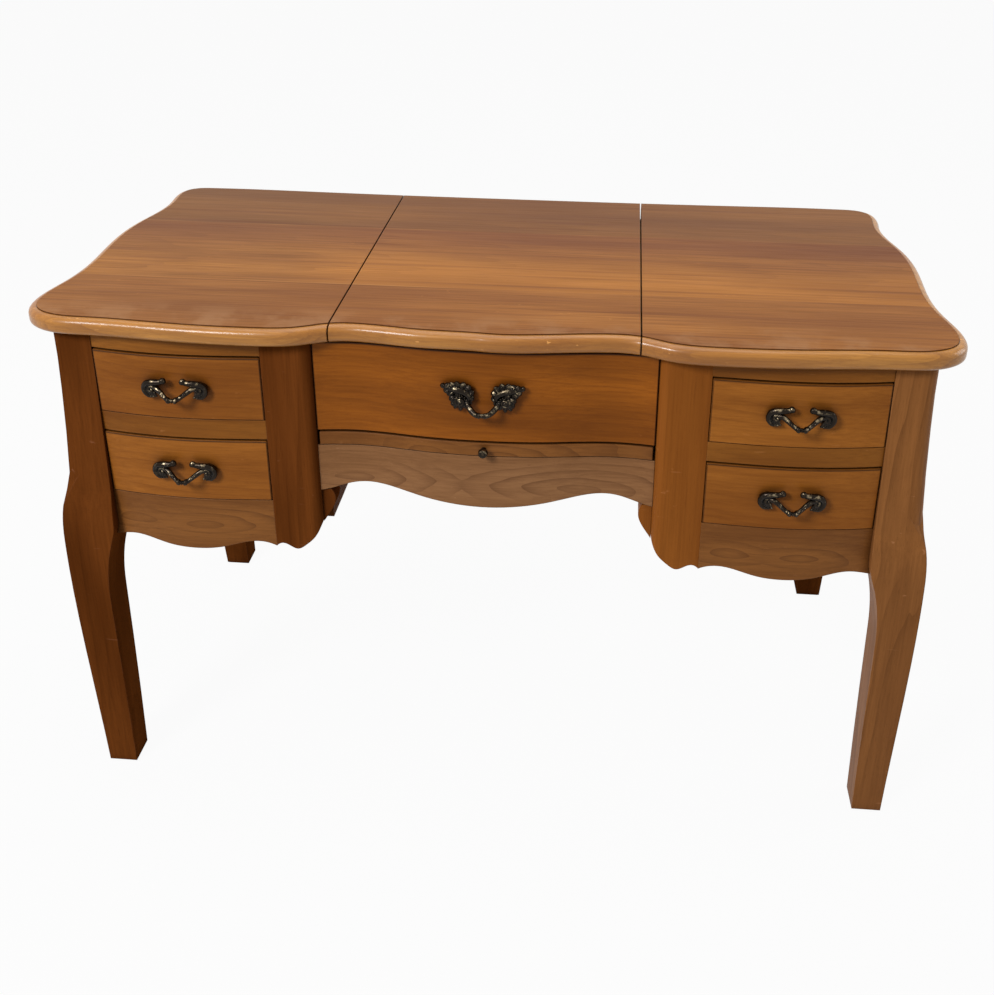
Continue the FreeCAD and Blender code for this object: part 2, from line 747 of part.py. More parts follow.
def top_blank():
    """Whole moulded edge and whole flat field of the top, before they are split."""
    thick, step = size("top_thick"), size("edge_step")
    field = prism(top_outline(size("edge_width")), Vector(0, 0, thick))
    edge = prism(top_outline(0.0), Vector(0, 0, thick - step))
    edge = edge.makeFillet(size("edge_round"), level_edges(edge, thick - step))
    edge = edge.makeFillet(size("edge_round_below"), level_edges(edge, 0.0))
    return edge.cut(field), field


def flap_part(solid, flap):
    """Share of the whole top that belongs to one flap."""
    seam, gap, half = size("seam_offset"), size("seam_gap") / 2, size("top_half") * 1.1
    deep, thick = size("top_depth"), size("top_thick")
    low, high = {
        "left": (-half, -seam - gap),
        "centre": (-seam + gap, seam - gap),
        "right": (seam + gap, half),
    }[flap]
    part = solid.common(Part.makeBox(high - low, 2 * deep, thick, Vector(low, -deep, 0)))
    part.translate(Vector(0, 0, size("case_top")))
    return part


def barrel_groove(name, flap, middle):
    """Room under a flap for a hinge barrel."""
    spans = hinge_spans(flap, "0", "axis_offset + barrel_room",
                        f"{middle} - hinge_length / 2 - barrel_gap",
                        f"{middle} + hinge_length / 2 + barrel_gap")
    return board(name, *spans, ("case_top", "case_top + barrel_room"))


mirror_bed = board("mirror_bed", ("-mirror_half - mirror_gap", "mirror_half + mirror_gap"),
                   ("mirror_front - mirror_gap", "mirror_back + mirror_gap"),
                   ("case_top", "case_top + mirror_thick"))
whole_edge, whole_field = top_blank()
for flap in ("left", "centre", "right"):
    for part_name, whole in (("edge", whole_edge), ("panel", whole_field)):
        name = f"flap_{flap}_{part_name}"
        tools = []
        for place, number, middle in hinge_places():
            if place == flap:
                tools.append(barrel_groove(f"{name}_groove_{number}", flap, middle))
                tools.append(leaf_plate(f"{name}_mortise_{number}", flap, middle, 1))
        if flap == "centre" and part_name == "panel":
            tools.append(mirror_bed)
        blank = shaped(f"{name}_blank", flap_part(whole, flap))
        keep(name, cut(name, blank, tools))


# Hinges
def leaf_screws(name, flap, middle, layer, extra):
    """Two countersunk screws of one leaf; extra widens them for the leaf's holes."""
    screws = []
    for number, offset in enumerate(("-screw_spacing / 2", "screw_spacing / 2"), start=1):
        along = f"{middle} + {offset}"
        across_leaf = "-leaf_width / 2"
        x_span, y_span = hinge_spans(flap, across_leaf, across_leaf, along, along)
        cone = doc.addObject("Part::Cone", f"{name}_{number}_head")
        cone.setExpression("Radius1" if layer > 0 else "Radius2", bound(f"screw_head + {extra}"))
        cone.setExpression("Radius2" if layer > 0 else "Radius1", bound(f"screw_radius + {extra}"))
        cone.setExpression("Height", bound("leaf_thick"))
        base = "case_top" if layer > 0 else "case_top - leaf_thick"
        for axis, place in zip("xyz", (x_span[0], y_span[0], base)):
            cone.setExpression(f"Placement.Base.{axis}", bound(place))
        low = "case_top + leaf_thick" if layer > 0 else "case_top - screw_length"
        shank = rod(f"{name}_{number}_shank", f"screw_radius + {extra}", "screw_length - leaf_thick", "z",
                    (x_span[0], y_span[0], low))
        screws.append(joined(f"{name}_{number}", [cone, shank]))
    return screws


def barrel_parts(name, flap, middle, layer, radius):
    """Barrel segments of one leaf: the outer two on the case, the middle one on the flap."""
    third = "(hinge_length - 2 * barrel_gap) / 3"
    starts = {
        -1: [f"{middle} - hinge_length / 2", f"{middle} + hinge_length / 2 - {third}"],
        1: [f"{middle} - {third} / 2"],
    }[layer]
    segments, tongues = [], []
    for number, start in enumerate(starts, start=1):
        if flap == "centre":
            place, axis = (start, "rear_axis", "case_top"), "x"
        else:
            sign = "-" if flap == "left" else ""
            place, axis = (f"{sign}(side_axis)", start, "case_top"), "y"
        segments.append(rod(f"{name}_barrel_{number}", radius, third, axis, place))
        spans = hinge_spans(flap, "-leaf_thick", "axis_offset", start, f"{start} + {third}")
        levels = ("case_top - leaf_thick", "case_top") if layer < 0 else ("case_top", "case_top + leaf_thick")
        tongues.append(board(f"{name}_tongue_{number}", *spans, levels))
    return segments, tongues


def hinge_rod(name, flap, middle, radius):
    """Rod through the whole barrel of a hinge."""
    start = f"{middle} - hinge_length / 2"
    if flap == "centre":
        return rod(name, radius, "hinge_length", "x", (start, "rear_axis", "case_top"))
    sign = "-" if flap == "left" else ""
    return rod(name, radius, "hinge_length", "y", (f"{sign}(side_axis)", start, "case_top"))


def hinge_leaf(name, flap, middle, layer):
    """One leaf: plate, tongues and barrel segments, bored for the pin and for two screws."""
    plate = leaf_plate(f"{name}_plate", flap, middle, layer)
    segments, tongues = barrel_parts(name, flap, middle, layer, "barrel_radius")
    body = joined(f"{name}_body", [plate] + tongues + segments)
    bore = hinge_rod(f"{name}_bore", flap, middle, "pin_radius + pin_clearance")
    holes = leaf_screws(f"{name}_hole", flap, middle, layer, "screw_clearance")
    return cut(name, body, [bore] + holes)


case_leaves, case_screws, pins = [], [], []
flap_hinges = {"left": [], "centre": [], "right": []}
for flap, number, middle in hinge_places():
    where = f"{flap}_{number}"
    case_leaves.append(hinge_leaf(f"case_leaf_{where}", flap, middle, -1))
    case_screws += leaf_screws(f"case_screw_{where}", flap, middle, -1, "0")
    pins.append(hinge_rod(f"pin_{where}", flap, middle, "pin_radius"))
    flap_hinges[flap].append(hinge_leaf(f"flap_leaf_{where}", flap, middle, 1))
    flap_hinges[flap] += leaf_screws(f"flap_screw_{where}", flap, middle, 1, "0")
keep("hinge_case_leaves", group("hinge_case_leaves", case_leaves))
keep("hinge_case_screws", group("hinge_case_screws", case_screws))
keep("hinge_pins", group("hinge_pins", pins))
for flap, members in flap_hinges.items():
    keep(f"flap_{flap}_hinges", group(f"flap_{flap}_hinges", members))


# Mirror under the centre flap
def body_plane(body, role):
    """Origin plane of a body."""
    return next(plane for plane in body.Origin.OriginFeatures if plane.Role == role)


def body_sketch(body, name, role):
    """Sketch on an origin plane of a body."""
    sketch = body.newObject("Sketcher::SketchObject", name)
    sketch.AttachmentSupport = [(body_plane(body, role), "")]
    sketch.MapMode = "FlatFace"
    return sketch


def mirror_glass():
    """Plate of mirror glass with a bevelled lower edge."""
    body = doc.addObject("PartDesign::Body", "mirror_glass")
    sketch = body_sketch(body, "mirror_outline", "XY_Plane")
    corners = [Vector(-1, -1, 0), Vector(1, -1, 0), Vector(1, 1, 0), Vector(-1, 1, 0)]
    sides = list(zip(corners, corners[1:] + corners[:1]))
    lines = [sketch.addGeometry(Part.LineSegment(a, b), False) for a, b in sides]
    for line, following in zip(lines, lines[1:] + lines[:1]):
        sketch.addConstraint(Sketcher.Constraint("Coincident", line, 2, following, 1))
    for line, kind in zip(lines, ("Horizontal", "Vertical", "Horizontal", "Vertical")):
        sketch.addConstraint(Sketcher.Constraint(kind, line))
    sketch.addConstraint(Sketcher.Constraint("Symmetric", lines[0], 1, lines[1], 2, -1, 1))
    wide = sketch.addConstraint(Sketcher.Constraint("DistanceX", lines[0], 1, lines[0], 2, 2.0))
    deep = sketch.addConstraint(Sketcher.Constraint("DistanceY", lines[1], 1, lines[1], 2, 2.0))
    sketch.setExpression(f"Constraints[{wide}]", bound("2 * mirror_half"))
    sketch.setExpression(f"Constraints[{deep}]", bound("mirror_back - mirror_front"))
    pad = body.newObject("PartDesign::Pad", "mirror_pad")
    pad.Profile = sketch
    pad.setExpression("Length", bound("mirror_thick"))
    doc.recompute()
    lower = [f"Edge{index + 1}" for index, edge in enumerate(pad.Shape.Edges) if edge.BoundBox.ZMax < 0.001]
    bevel = body.newObject("PartDesign::Chamfer", "mirror_bevel_edge")
    bevel.Base = (pad, lower)
    bevel.setExpression("Size", bound("mirror_bevel"))
    body.setExpression("Placement.Base.y", bound("(mirror_front + mirror_back) / 2"))
    body.setExpression("Placement.Base.z", bound("case_top"))
    return body


def bead(name, points, low, high):
    """Mitred bead of the mirror's frame, drawn from its plan outline."""
    solid = prism(polyline(points + points[:1]), Vector(0, 0, high - low))
    solid.translate(Vector(0, 0, low))
    rim = [edge for edge in solid.Edges if edge.BoundBox.ZMax < low + 0.001]
    long_edges = sorted(rim, key=lambda edge: edge.Length)[-2:]
    return shaped(name, solid.makeFillet((high - low) * 0.45, long_edges))


def mirror_frame():
    """Four mitred beads that lap over the edge of the glass."""
    lap, wide = size("bead_lap"), size("bead_width")
    in_x, in_y = size("mirror_half") - lap, size("mirror_back - mirror_front") / 2 - lap
    out_x, out_y = in_x + wide, in_y + wide
    middle = size("mirror_front + mirror_back") / 2
    high = size("case_top")
    low = high - size("bead_thick")
    beads = []
    for turn, name in ((1, "back"), (-1, "front")):
        points = [(-in_x, in_y), (in_x, in_y), (out_x, out_y), (-out_x, out_y)]
        corners = [Vector(x, middle + turn * y, 0) for x, y in points]
        beads.append(bead(f"bead_{name}", corners, low, high))
    for turn, name in ((1, "right"), (-1, "left")):
        points = [(in_x, -in_y), (in_x, in_y), (out_x, out_y), (out_x, -out_y)]
        corners = [Vector(turn * x, middle + y, 0) for x, y in points]
        beads.append(bead(f"bead_{name}", corners, low, high))
    return group("mirror_frame", beads)


keep("mirror_glass", mirror_glass())
keep("mirror_frame", mirror_frame())


# Pulls
def pull_shape(kind):
    """Cast pull around its own middle: two rosettes, a fixed bail and, on the centre one, leaf tips."""
    reach, wire, seat = size("pull_reach"), size("bail_radius"), size("pull_seat")
    rosette, drop = size(f"{kind}_rosette"), size(f"{kind}_pull_drop")
    spread = size(f"{kind}_spread")
    leaf = size("leaf_rise") if kind == "centre" else 0.0
    outwards = Vector(0, -1, 0)
    start = Vector(-spread, -wire - seat * 0.4, -rosette * 0.3)
    low = Vector(0, -reach + wire * 1.5, -drop + wire)
    end = Vector(spread, start.y, start.z)
    path = Part.Wire([Part.Arc(start, low, end).toShape()])
    heading = path.Edges[0].tangentAt(path.Edges[0].FirstParameter)
    ring = Part.Face(Part.Wire([Part.makeCircle(wire, start, heading)]))
    solid = path.makePipe(ring).fuse(Part.makeSphere(wire * 1.5, low, Vector(1, 0, 0)))
    for turn in (LEFT, RIGHT):
        disc = Part.makeCylinder(rosette, 2.4 * seat, Vector(turn * spread, seat, 0), outwards)
        rim = [edge for edge in disc.Edges if edge.BoundBox.YMax < -1.3 * seat]
        solid = solid.fuse(disc.makeFillet(seat * 0.8, rim))
        if leaf > 0:
            tip = Vector(turn * (size(f"{kind}_pull_width / 2") - spread - wire), 0, leaf)
            foot = Vector(turn * spread, -seat * 0.6, 0)
            solid = solid.fuse(Part.makeCone(rosette * 0.75, wire * 0.6, tip.Length, foot, tip))
    return solid.removeSplitter()


def bow_at(x):
    """Front of the bowed drawers at a distance across the table."""
    level = size("lower_base")
    ray = Part.LineSegment(Vector(x, size("bow_front") - 1, level), Vector(x, size("rail_back"), level))
    return drawer_bow.Shape.common(ray.toShape()).BoundBox.YMin


def fitted_pull(kind, front, x, z):
    """Pull placed on a drawer front, seated on its bow, with its two fixing posts."""
    doc.recompute()
    face, post = bow_at(x), size("post_radius")
    solid = pull_shape(kind)
    solid.translate(Vector(x, face, z))
    solid = solid.cut(front.Shape)
    spread = size(f"{kind}_spread")
    start = face - size("pull_seat") * 0.5
    for turn in (LEFT, RIGHT):
        foot = Vector(x + turn * spread, start, z)
        solid = solid.fuse(Part.makeCylinder(post, size("post_end") - start, foot, Vector(0, 1, 0)))
    return solid.removeSplitter()


# Drawers
def drawer(name, x_span, front_levels, box_levels, kind):
    """Drawer of a bowed front, a box behind it and a pull."""
    low, high = x_span
    gap_span = (f"{low} + front_gap", f"{high} - front_gap")
    blank = board(f"{name}_blank", gap_span, ("bow_front", "rail_back"), front_levels)
    front = eased(f"{name}_eased", meet(f"{name}_bowed", blank, drawer_bow))
    middle = f"(({low}) + ({high})) / 2"
    level = f"(({front_levels[0]}) + ({front_levels[1]})) / 2 + pull_rise"
    holes = []
    for number, sign in enumerate("-+", start=1):
        across_front = f"{middle} {sign} ({kind}_spread)"
        holes.append(rod(f"{name}_hole_{number}", "post_radius + post_clearance", "post_end - bow_front",
                         "y", (across_front, "bow_front", level)))
    keep(f"{name}_front", cut(f"{name}_front", front, holes))
    box_low, box_high = f"{low} + drawer_gap", f"{high} - drawer_gap"
    run = ("rail_back", "drawer_end")
    inside = (f"{box_low} + drawer_side", f"{box_high} - drawer_side")
    floor = f"{box_levels[0]} + drawer_bottom_lift"
    members = [
        board(f"{name}_side_a", (box_low, inside[0]), run, box_levels),
        board(f"{name}_side_b", (inside[1], box_high), run, box_levels),
        board(f"{name}_back", inside, ("drawer_end - drawer_side", "drawer_end"), box_levels),
        board(f"{name}_floor", inside, ("rail_back", "drawer_end - drawer_side"),
              (floor, f"{floor} + drawer_bottom")),
    ]
    keep(f"{name}_box", group(f"{name}_box", members))
    pull = fitted_pull(kind, front, size(middle), size(level))
    keep(f"{name}_pull", shaped(f"{name}_pull", pull))


for side, side_name in SIDES.items():
    span = across(side, "opening_near", "opening_far")
    drawer(f"drawer_upper_{side_name}", span, ("upper_base + front_gap", "upper_top - front_top_gap"),
           ("upper_base + run_gap", "well_base - drawer_headroom"), "side")
    drawer(f"drawer_lower_{side_name}", span, ("lower_base + front_gap", "lower_top - front_top_gap"),
           ("lower_base + run_gap", "lower_top - drawer_headroom"), "side")
drawer("drawer_centre", ("-kneehole_half", "kneehole_half"),
       ("centre_base + front_gap", "case_top - front_top_gap"),
       ("centre_run + run_gap", "well_base - drawer_headroom"), "centre")

# Writing slide
slide_width = ("-kneehole_half + drawer_gap", "kneehole_half - drawer_gap")
lip_width = ("-kneehole_half + front_top_gap", "kneehole_half - front_top_gap")
slide_blank = board("slide_lip_blank", lip_width, ("bow_front", "rail_back"),
                    ("slide_base + front_gap", "centre_base - 2 * front_gap"))
keep("slide_lip", eased("slide_lip", meet("slide_lip_bowed", slide_blank, drawer_bow)))
slide_floor = "slide_base + front_gap + run_gap"
slide_levels = (slide_floor, f"{slide_floor} + slide_board_thick - front_gap")
keep("slide_board", board("slide_board", slide_width, ("rail_back", "drawer_end"), slide_levels))


def slide_knob():
    """Small turned knob on the lip of the slide."""
    body = doc.addObject("PartDesign::Body", "slide_knob")
    sketch = body_sketch(body, "knob_profile", "XZ_Plane")
    radius, reach = size("knob_radius"), size("knob_reach")
    profile = [(0.0, 0.0), (0.5, 0.0), (0.42, 0.3), (1.0, 0.6), (0.85, 0.9), (0.0, 1.0)]
    points = [Vector(x * radius, y * reach, 0) for x, y in profile]
    for start, end in zip(points, points[1:] + points[:1]):
        sketch.addGeometry(Part.LineSegment(start, end), False)
    for line in range(len(points)):
        sketch.addConstraint(Sketcher.Constraint("Coincident", line, 2, (line + 1) % len(points), 1))
    kinds = (("DistanceX", "knob_radius", -2), ("DistanceY", "knob_reach", -1))
    for line, shares in enumerate(profile):
        for share, (kind, length, axis) in zip(shares, kinds):
            if share == 0:
                sketch.addConstraint(Sketcher.Constraint("PointOnObject", line, 1, axis))
            else:
                place = sketch.addConstraint(Sketcher.Constraint(kind, -1, 1, line, 1, share * size(length)))
                sketch.setExpression(f"Constraints[{place}]", bound(f"{share} * {length}"))
    revolution = body.newObject("PartDesign::Revolution", "knob_turned")
    revolution.Profile = sketch
    revolution.ReferenceAxis = (sketch, ["V_Axis"])
    revolution.Angle = 360.0
    body.Placement = FreeCAD.Placement(Vector(0, bow_at(0.0), 0), FreeCAD.Rotation(Vector(1, 0, 0), 90))
    body.setExpression("Placement.Base.z", bound("(slide_base + centre_base) / 2"))
    return body


keep("slide_knob", slide_knob())


doc.recompute()
failed = [item.Name for item in doc.Objects if {"Invalid", "Error"} & set(item.State)]
failed += [item.Label for item in pieces if item.Shape.isNull() or not item.Shape.isValid()]
if failed:
    raise RuntimeError(f"not built: {failed}")
os.makedirs("parts", exist_ok=True)
for item in pieces:
    item.Shape.exportStep(os.path.join("parts", f"{item.Label}.step"))
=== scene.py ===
"""Cherry dressing table: finishes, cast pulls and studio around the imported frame."""
import json
import logging
import math
from dataclasses import dataclass, replace
from enum import Enum

import bmesh
import bpy
from mathutils import Euler, Matrix, Vector

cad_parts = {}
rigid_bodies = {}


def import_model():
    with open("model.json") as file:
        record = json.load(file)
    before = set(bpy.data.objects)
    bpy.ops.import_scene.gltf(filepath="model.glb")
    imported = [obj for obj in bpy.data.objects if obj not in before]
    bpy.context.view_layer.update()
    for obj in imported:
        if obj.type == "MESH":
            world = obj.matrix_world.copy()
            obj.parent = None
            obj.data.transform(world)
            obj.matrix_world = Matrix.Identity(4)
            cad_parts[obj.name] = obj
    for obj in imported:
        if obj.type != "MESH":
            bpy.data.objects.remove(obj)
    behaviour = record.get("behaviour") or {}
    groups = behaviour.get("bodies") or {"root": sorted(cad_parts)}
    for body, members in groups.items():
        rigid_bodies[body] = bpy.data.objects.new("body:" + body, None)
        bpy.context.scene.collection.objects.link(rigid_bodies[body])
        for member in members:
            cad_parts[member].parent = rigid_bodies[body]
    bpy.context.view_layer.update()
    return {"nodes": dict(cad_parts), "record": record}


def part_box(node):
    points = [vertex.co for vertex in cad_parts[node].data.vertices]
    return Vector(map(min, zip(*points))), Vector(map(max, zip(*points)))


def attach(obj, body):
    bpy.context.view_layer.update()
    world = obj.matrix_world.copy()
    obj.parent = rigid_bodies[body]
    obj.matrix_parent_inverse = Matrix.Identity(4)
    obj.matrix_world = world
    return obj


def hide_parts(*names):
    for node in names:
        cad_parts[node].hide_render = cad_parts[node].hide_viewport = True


LOG = logging.getLogger("dressing_table")
MM = 0.001

Colour = tuple[float, float, float, float]
Band = tuple[float, float]
Triple = tuple[float, float, float]
Box = tuple[Vector, Vector]
Socket = bpy.types.NodeSocket
Node = bpy.types.Node
Sockets = dict[str, Socket]
Tree = bpy.types.NodeTree
Mesh = bpy.types.Mesh
Thing = bpy.types.Object
Material = bpy.types.Material


def srgb(red: int, green: int, blue: int) -> Colour:
    """Turn a display colour into a linear one.

    Args:
        red: Red from 0 to 255.
        green: Green from 0 to 255.
        blue: Blue from 0 to 255.

    Returns:
        The linear colour with full alpha.
    """
    def linear(value: int) -> float:
        """Undo the display curve of one channel."""
        share = value / 255
        return share / 12.92 if share <= 0.04045 else ((share + 0.055) / 1.055) ** 2.4

    return (linear(red), linear(green), linear(blue), 1.0)


def add_object(name: str, data: bpy.types.ID) -> Thing:
    """Put a mesh, a lamp or a camera into the scene.

    Args:
        name: Name of the new object.
        data: What the object shows.

    Returns:
        The new object.
    """
    thing = bpy.data.objects.new(name, data)
    bpy.context.scene.collection.objects.link(thing)
    return thing


class Grain(Enum):
    """Direction that the fibres of a board run in, as the turn that lays them along X."""

    ALONG_X = (0.0, 0.0, 0.0)
    ALONG_Y = (0.0, 0.0, -math.pi / 2)
    ALONG_Z = (0.0, math.pi / 2, 0.0)


@dataclass(frozen=True)
class Stain:
    """A tone, and how much of what lies below it is covered."""

    tone: Colour
    share: float


@dataclass(frozen=True)
class Cloud:
    """Noise of its own fineness along each axis, and the band of it that shows."""

    fineness: Triple
    detail: float
    roughness: float = 0.5
    band: Band = (0.0, 1.0)


class NodeSheet:
    """Adds and links the nodes of one node tree."""

    def __init__(self, tree: Tree) -> None:
        """Start on an empty sheet."""
        self.tree = tree
        tree.nodes.clear()

    def node(self, kind: str, inputs: dict[str | int, object] | None = None,
             **settings: object) -> Node:
        """Add one node.

        Args:
            kind: Type name of the node.
            inputs: Values or sockets for its inputs.
            settings: Properties of the node.

        Returns:
            The new node.
        """
        made = self.tree.nodes.new(kind)
        for key, value in settings.items():
            setattr(made, key, value)
        for key, value in (inputs or {}).items():
            self.feed(made.inputs[key], value)
        return made

    def feed(self, target: Socket, value: object) -> None:
        """Link a socket or a node's first output to an input, or set the input's own value."""
        if isinstance(value, Node):
            value = value.outputs[0]
        if isinstance(value, Socket):
            self.tree.links.new(value, target)
        else:
            target.default_value = value

    def group(self, tree: Tree, values: dict[str, object]) -> Sockets:
        """Use a shared node group and name its outputs."""
        made = self.node("ShaderNodeGroup", values, node_tree=tree)
        return {socket.name: socket for socket in made.outputs}

    def math(self, operation: str, *values: object, clamp: bool = False) -> Socket:
        """Work out one number from others."""
        made = self.node("ShaderNodeMath", dict(enumerate(values)), operation=operation,
                         use_clamp=clamp)
        return made.outputs[0]

    def times(self, first: object, second: object) -> Socket:
        """Multiply two numbers."""
        return self.math("MULTIPLY", first, second)

    def rest(self, share: Socket) -> Socket:
        """Take a share away from one."""
        return self.math("SUBTRACT", 1.0, share)

    def vector(self, operation: str, *values: object) -> Socket:
        """Work out one vector from others."""
        made = self.node("ShaderNodeVectorMath", dict(enumerate(values)), operation=operation)
        return made.outputs[0]

    def dot(self, first: object, second: object) -> Socket:
        """Measure how far two directions agree."""
        made = self.node("ShaderNodeVectorMath", {0: first, 1: second}, operation="DOT_PRODUCT")
        return made.outputs["Value"]

    def axes(self, vector: Socket) -> list[Socket]:
        """Split a vector into its three numbers."""
        return list(self.node("ShaderNodeSeparateXYZ", {0: vector}).outputs)

    def noise(self, vector: Socket, cloud: Cloud, output: int = 0) -> Socket:
        """Plain noise of a cloud, as a number or from output 1 as a vector."""
        spread = self.vector("MULTIPLY", vector, cloud.fineness)
        made = self.node("ShaderNodeTexNoise", {
            "Vector": spread, "Scale": 1.0, "Detail": cloud.detail, "Roughness": cloud.roughness,
        })
        return made.outputs[output]

    def cloud(self, vector: Socket, cloud: Cloud) -> Socket:
        """Mask of a cloud, eased over its band."""
        return self.ease(self.noise(vector, cloud), *cloud.band)

    def ease(self, value: Socket, low: float, high: float) -> Socket:
        """Ramp smoothly from 0 at low to 1 at high."""
        values = {0: value, 1: low, 2: high, 3: 0.0, 4: 1.0}
        made = self.node("ShaderNodeMapRange", values, interpolation_type="SMOOTHSTEP")
        return made.outputs[0]

    def tint(self, share: object, first: object, second: object) -> Socket:
        """Mix two colours by a share."""
        values = {0: share, 6: first, 7: second}
        return self.node("ShaderNodeMix", values, data_type="RGBA", blend_type="MIX").outputs[2]

    def stain(self, colour: object, mask: Socket, stain: Stain) -> Socket:
        """Cover a colour with a stain where the mask lets it."""
        return self.tint(self.times(mask, stain.share), colour, stain.tone)

    def bump(self, strength: float, distance: float, height: Socket, **more: Socket) -> Socket:
        """Turn a height into a normal."""
        values = {"Strength": strength, "Distance": distance, "Height": height, **more}
        return self.node("ShaderNodeBump", values).outputs[0]


def new_group(name: str, inputs: dict[str, str], outputs: dict[str, str],
              kind: str = "ShaderNodeTree") -> tuple[NodeSheet, Sockets, Sockets]:
    """Start a node group with named sockets.

    Args:
        name: Name of the group.
        inputs: Socket type of each input by name.
        outputs: Socket type of each output by name.
        kind: Type of the node tree.

    Returns:
        The sheet, the input sockets and the output sockets inside the group.
    """
    tree = bpy.data.node_groups.new(name, kind)
    for side, sockets in (("INPUT", inputs), ("OUTPUT", outputs)):
        for word, socket in sockets.items():
            tree.interface.new_socket(name=word, in_out=side, socket_type=socket)
    sheet = NodeSheet(tree)
    entry = sheet.node("NodeGroupInput").outputs
    leave = sheet.node("NodeGroupOutput").inputs
    return sheet, {word: entry[word] for word in inputs}, {word: leave[word] for word in outputs}


class Effects:
    """Shader node groups that several finishes share."""

    NUMBER = "NodeSocketFloat"
    VECTOR = "NodeSocketVector"
    SWAY = Cloud((2.2, 7.0, 7.0), 2.0)
    JITTER = Cloud((1.5, 60.0, 60.0), 1.0)
    FADE = Cloud((3.0, 26.0, 26.0), 2.0, band=(0.3, 0.7))
    FIBRE = Cloud((7.0, 330.0, 330.0), 4.0, 0.62, (0.3, 0.72))
    PORES = Cloud((55.0, 1500.0, 1500.0), 1.0, band=(0.6, 0.75))
    DRIFT = Cloud((1.6, 12.0, 12.0), 3.0, 0.55, (0.28, 0.72))
    KNOCKS = Cloud((60.0, 110.0, 110.0), 3.0, 0.6, (0.66, 0.74))
    KNOCKED_PLACES = Cloud((9.0, 9.0, 9.0), 2.0, band=(0.45, 0.65))
    SCRATCHES = Cloud((18.0, 520.0, 160.0), 1.0, band=(0.76, 0.8))
    RUBBED_PLACES = Cloud((34.0, 34.0, 34.0), 3.0, 0.6, (0.36, 0.62))
    SCRATCH_SHARE = 0.6
    LOG_LEAN = 0.06
    RING_JITTER = 0.9
    LATE_WOOD = 3.0
    CORNER_BEND = (0.02, 0.2)
    # how closed in a spot must be for painted shade, and how far the occlusion probe reaches
    RECESS_DEPTH = (0.1, 0.75)
    RECESS_REACH = 0.016
    PROBES = 4

    def __init__(self) -> None:
        """Build each group once."""
        self.figure = self._figure()
        self.scuffs = self._scuffs()
        self.arrises = self._arrises()

    def _figure(self) -> Tree:
        """Growth rings, fibres, pores and slow drift of colour in a log that lies along X."""
        sheet, given, made = new_group(
            "timber_figure",
            {"Vector": self.VECTOR, "Ring Vector": self.VECTOR, "Ring Spacing": self.NUMBER,
             "Waviness": self.NUMBER, "Pith": self.NUMBER},
            dict.fromkeys(("Figure", "Fibre", "Pores", "Drift"), self.NUMBER),
        )
        place = given["Vector"]
        sway = sheet.vector("SUBTRACT", sheet.noise(place, self.SWAY, 1), (0.5, 0.5, 0.5))
        sway = sheet.node("ShaderNodeVectorMath", {0: sway, "Scale": given["Waviness"]},
                          operation="SCALE")
        bent = sheet.axes(sheet.vector("ADD", given["Ring Vector"], sway))
        depth = sheet.math("ADD", bent[2], sheet.times(bent[0], self.LOG_LEAN))
        depth = sheet.math("ADD", depth, given["Pith"])
        square = sheet.math("ADD", sheet.times(bent[1], bent[1]), sheet.times(depth, depth))
        rings = sheet.math("DIVIDE", sheet.math("SQRT", square), given["Ring Spacing"])
        jitter = sheet.times(sheet.noise(place, self.JITTER), self.RING_JITTER)
        rings = sheet.math("ADD", rings, jitter)
        late = sheet.math("POWER", sheet.math("FRACT", rings), self.LATE_WOOD)
        sheet.feed(made["Figure"], sheet.times(late, sheet.cloud(place, self.FADE)))
        for word, cloud in (("Fibre", self.FIBRE), ("Pores", self.PORES), ("Drift", self.DRIFT)):
            sheet.feed(made[word], sheet.cloud(place, cloud))
        return sheet.tree

    def _scuffs(self) -> Tree:
        """Pale knocks and short scratches, as a mask."""
        sheet, given, made = new_group(
            "scuff_marks",
            {"Vector": self.VECTOR, "Amount": self.NUMBER},
            {"Mask": self.NUMBER},
        )
        place = given["Vector"]
        knocks = sheet.cloud(place, self.KNOCKS)
        knocks = sheet.times(knocks, sheet.cloud(place, self.KNOCKED_PLACES))
        scratches = sheet.times(sheet.cloud(place, self.SCRATCHES), self.SCRATCH_SHARE)
        mask = sheet.math("MAXIMUM", knocks, scratches)
        sheet.feed(made["Mask"], sheet.times(mask, given["Amount"]))
        return sheet.tree

    def _arrises(self) -> Tree:
        """Softened corners, the mask of where they are rubbed pale and that of recesses darkened as
        painted shade.
        """
        sheet, given, made = new_group(
            "worn_arrises_and_recess_shade",
            {"Vector": self.VECTOR, "Radius": self.NUMBER},
            {"Mask": self.NUMBER, "Recess": self.NUMBER, "Normal": self.VECTOR},
        )
        soft = sheet.node("ShaderNodeBevel", {"Radius": given["Radius"]}, samples=self.PROBES)
        plain = sheet.node("ShaderNodeNewGeometry").outputs["Normal"]
        bend = sheet.ease(sheet.rest(sheet.dot(soft, plain)), *self.CORNER_BEND)
        # painted shade: ambient occlusion marks recesses, the space under overhangs and the gaps
        open_share = sheet.node("ShaderNodeAmbientOcclusion", {"Distance": self.RECESS_REACH},
                                samples=self.PROBES).outputs["AO"]
        rubbed = sheet.cloud(given["Vector"], self.RUBBED_PLACES)
        sheet.feed(made["Mask"], sheet.times(bend, rubbed))
        sheet.feed(made["Recess"], sheet.ease(sheet.rest(open_share), *self.RECESS_DEPTH))
        sheet.feed(made["Normal"], soft)
        return sheet.tree


ARRIS_RADIUS = 0.0018
PORE_SHARE = 0.3
FIBRE_ROUGHNESS = 0.08
SCUFF_ROUGHNESS = 0.2
FIBRE_HEIGHT = -0.6
FIGURE_HEIGHT = -0.4
# tone of the painted shade in recesses
RECESS_SHADE_TONE = srgb(32, 16, 7)
LOOP_MIDDLE = 0.03
LOOP_STRETCH = 0.26


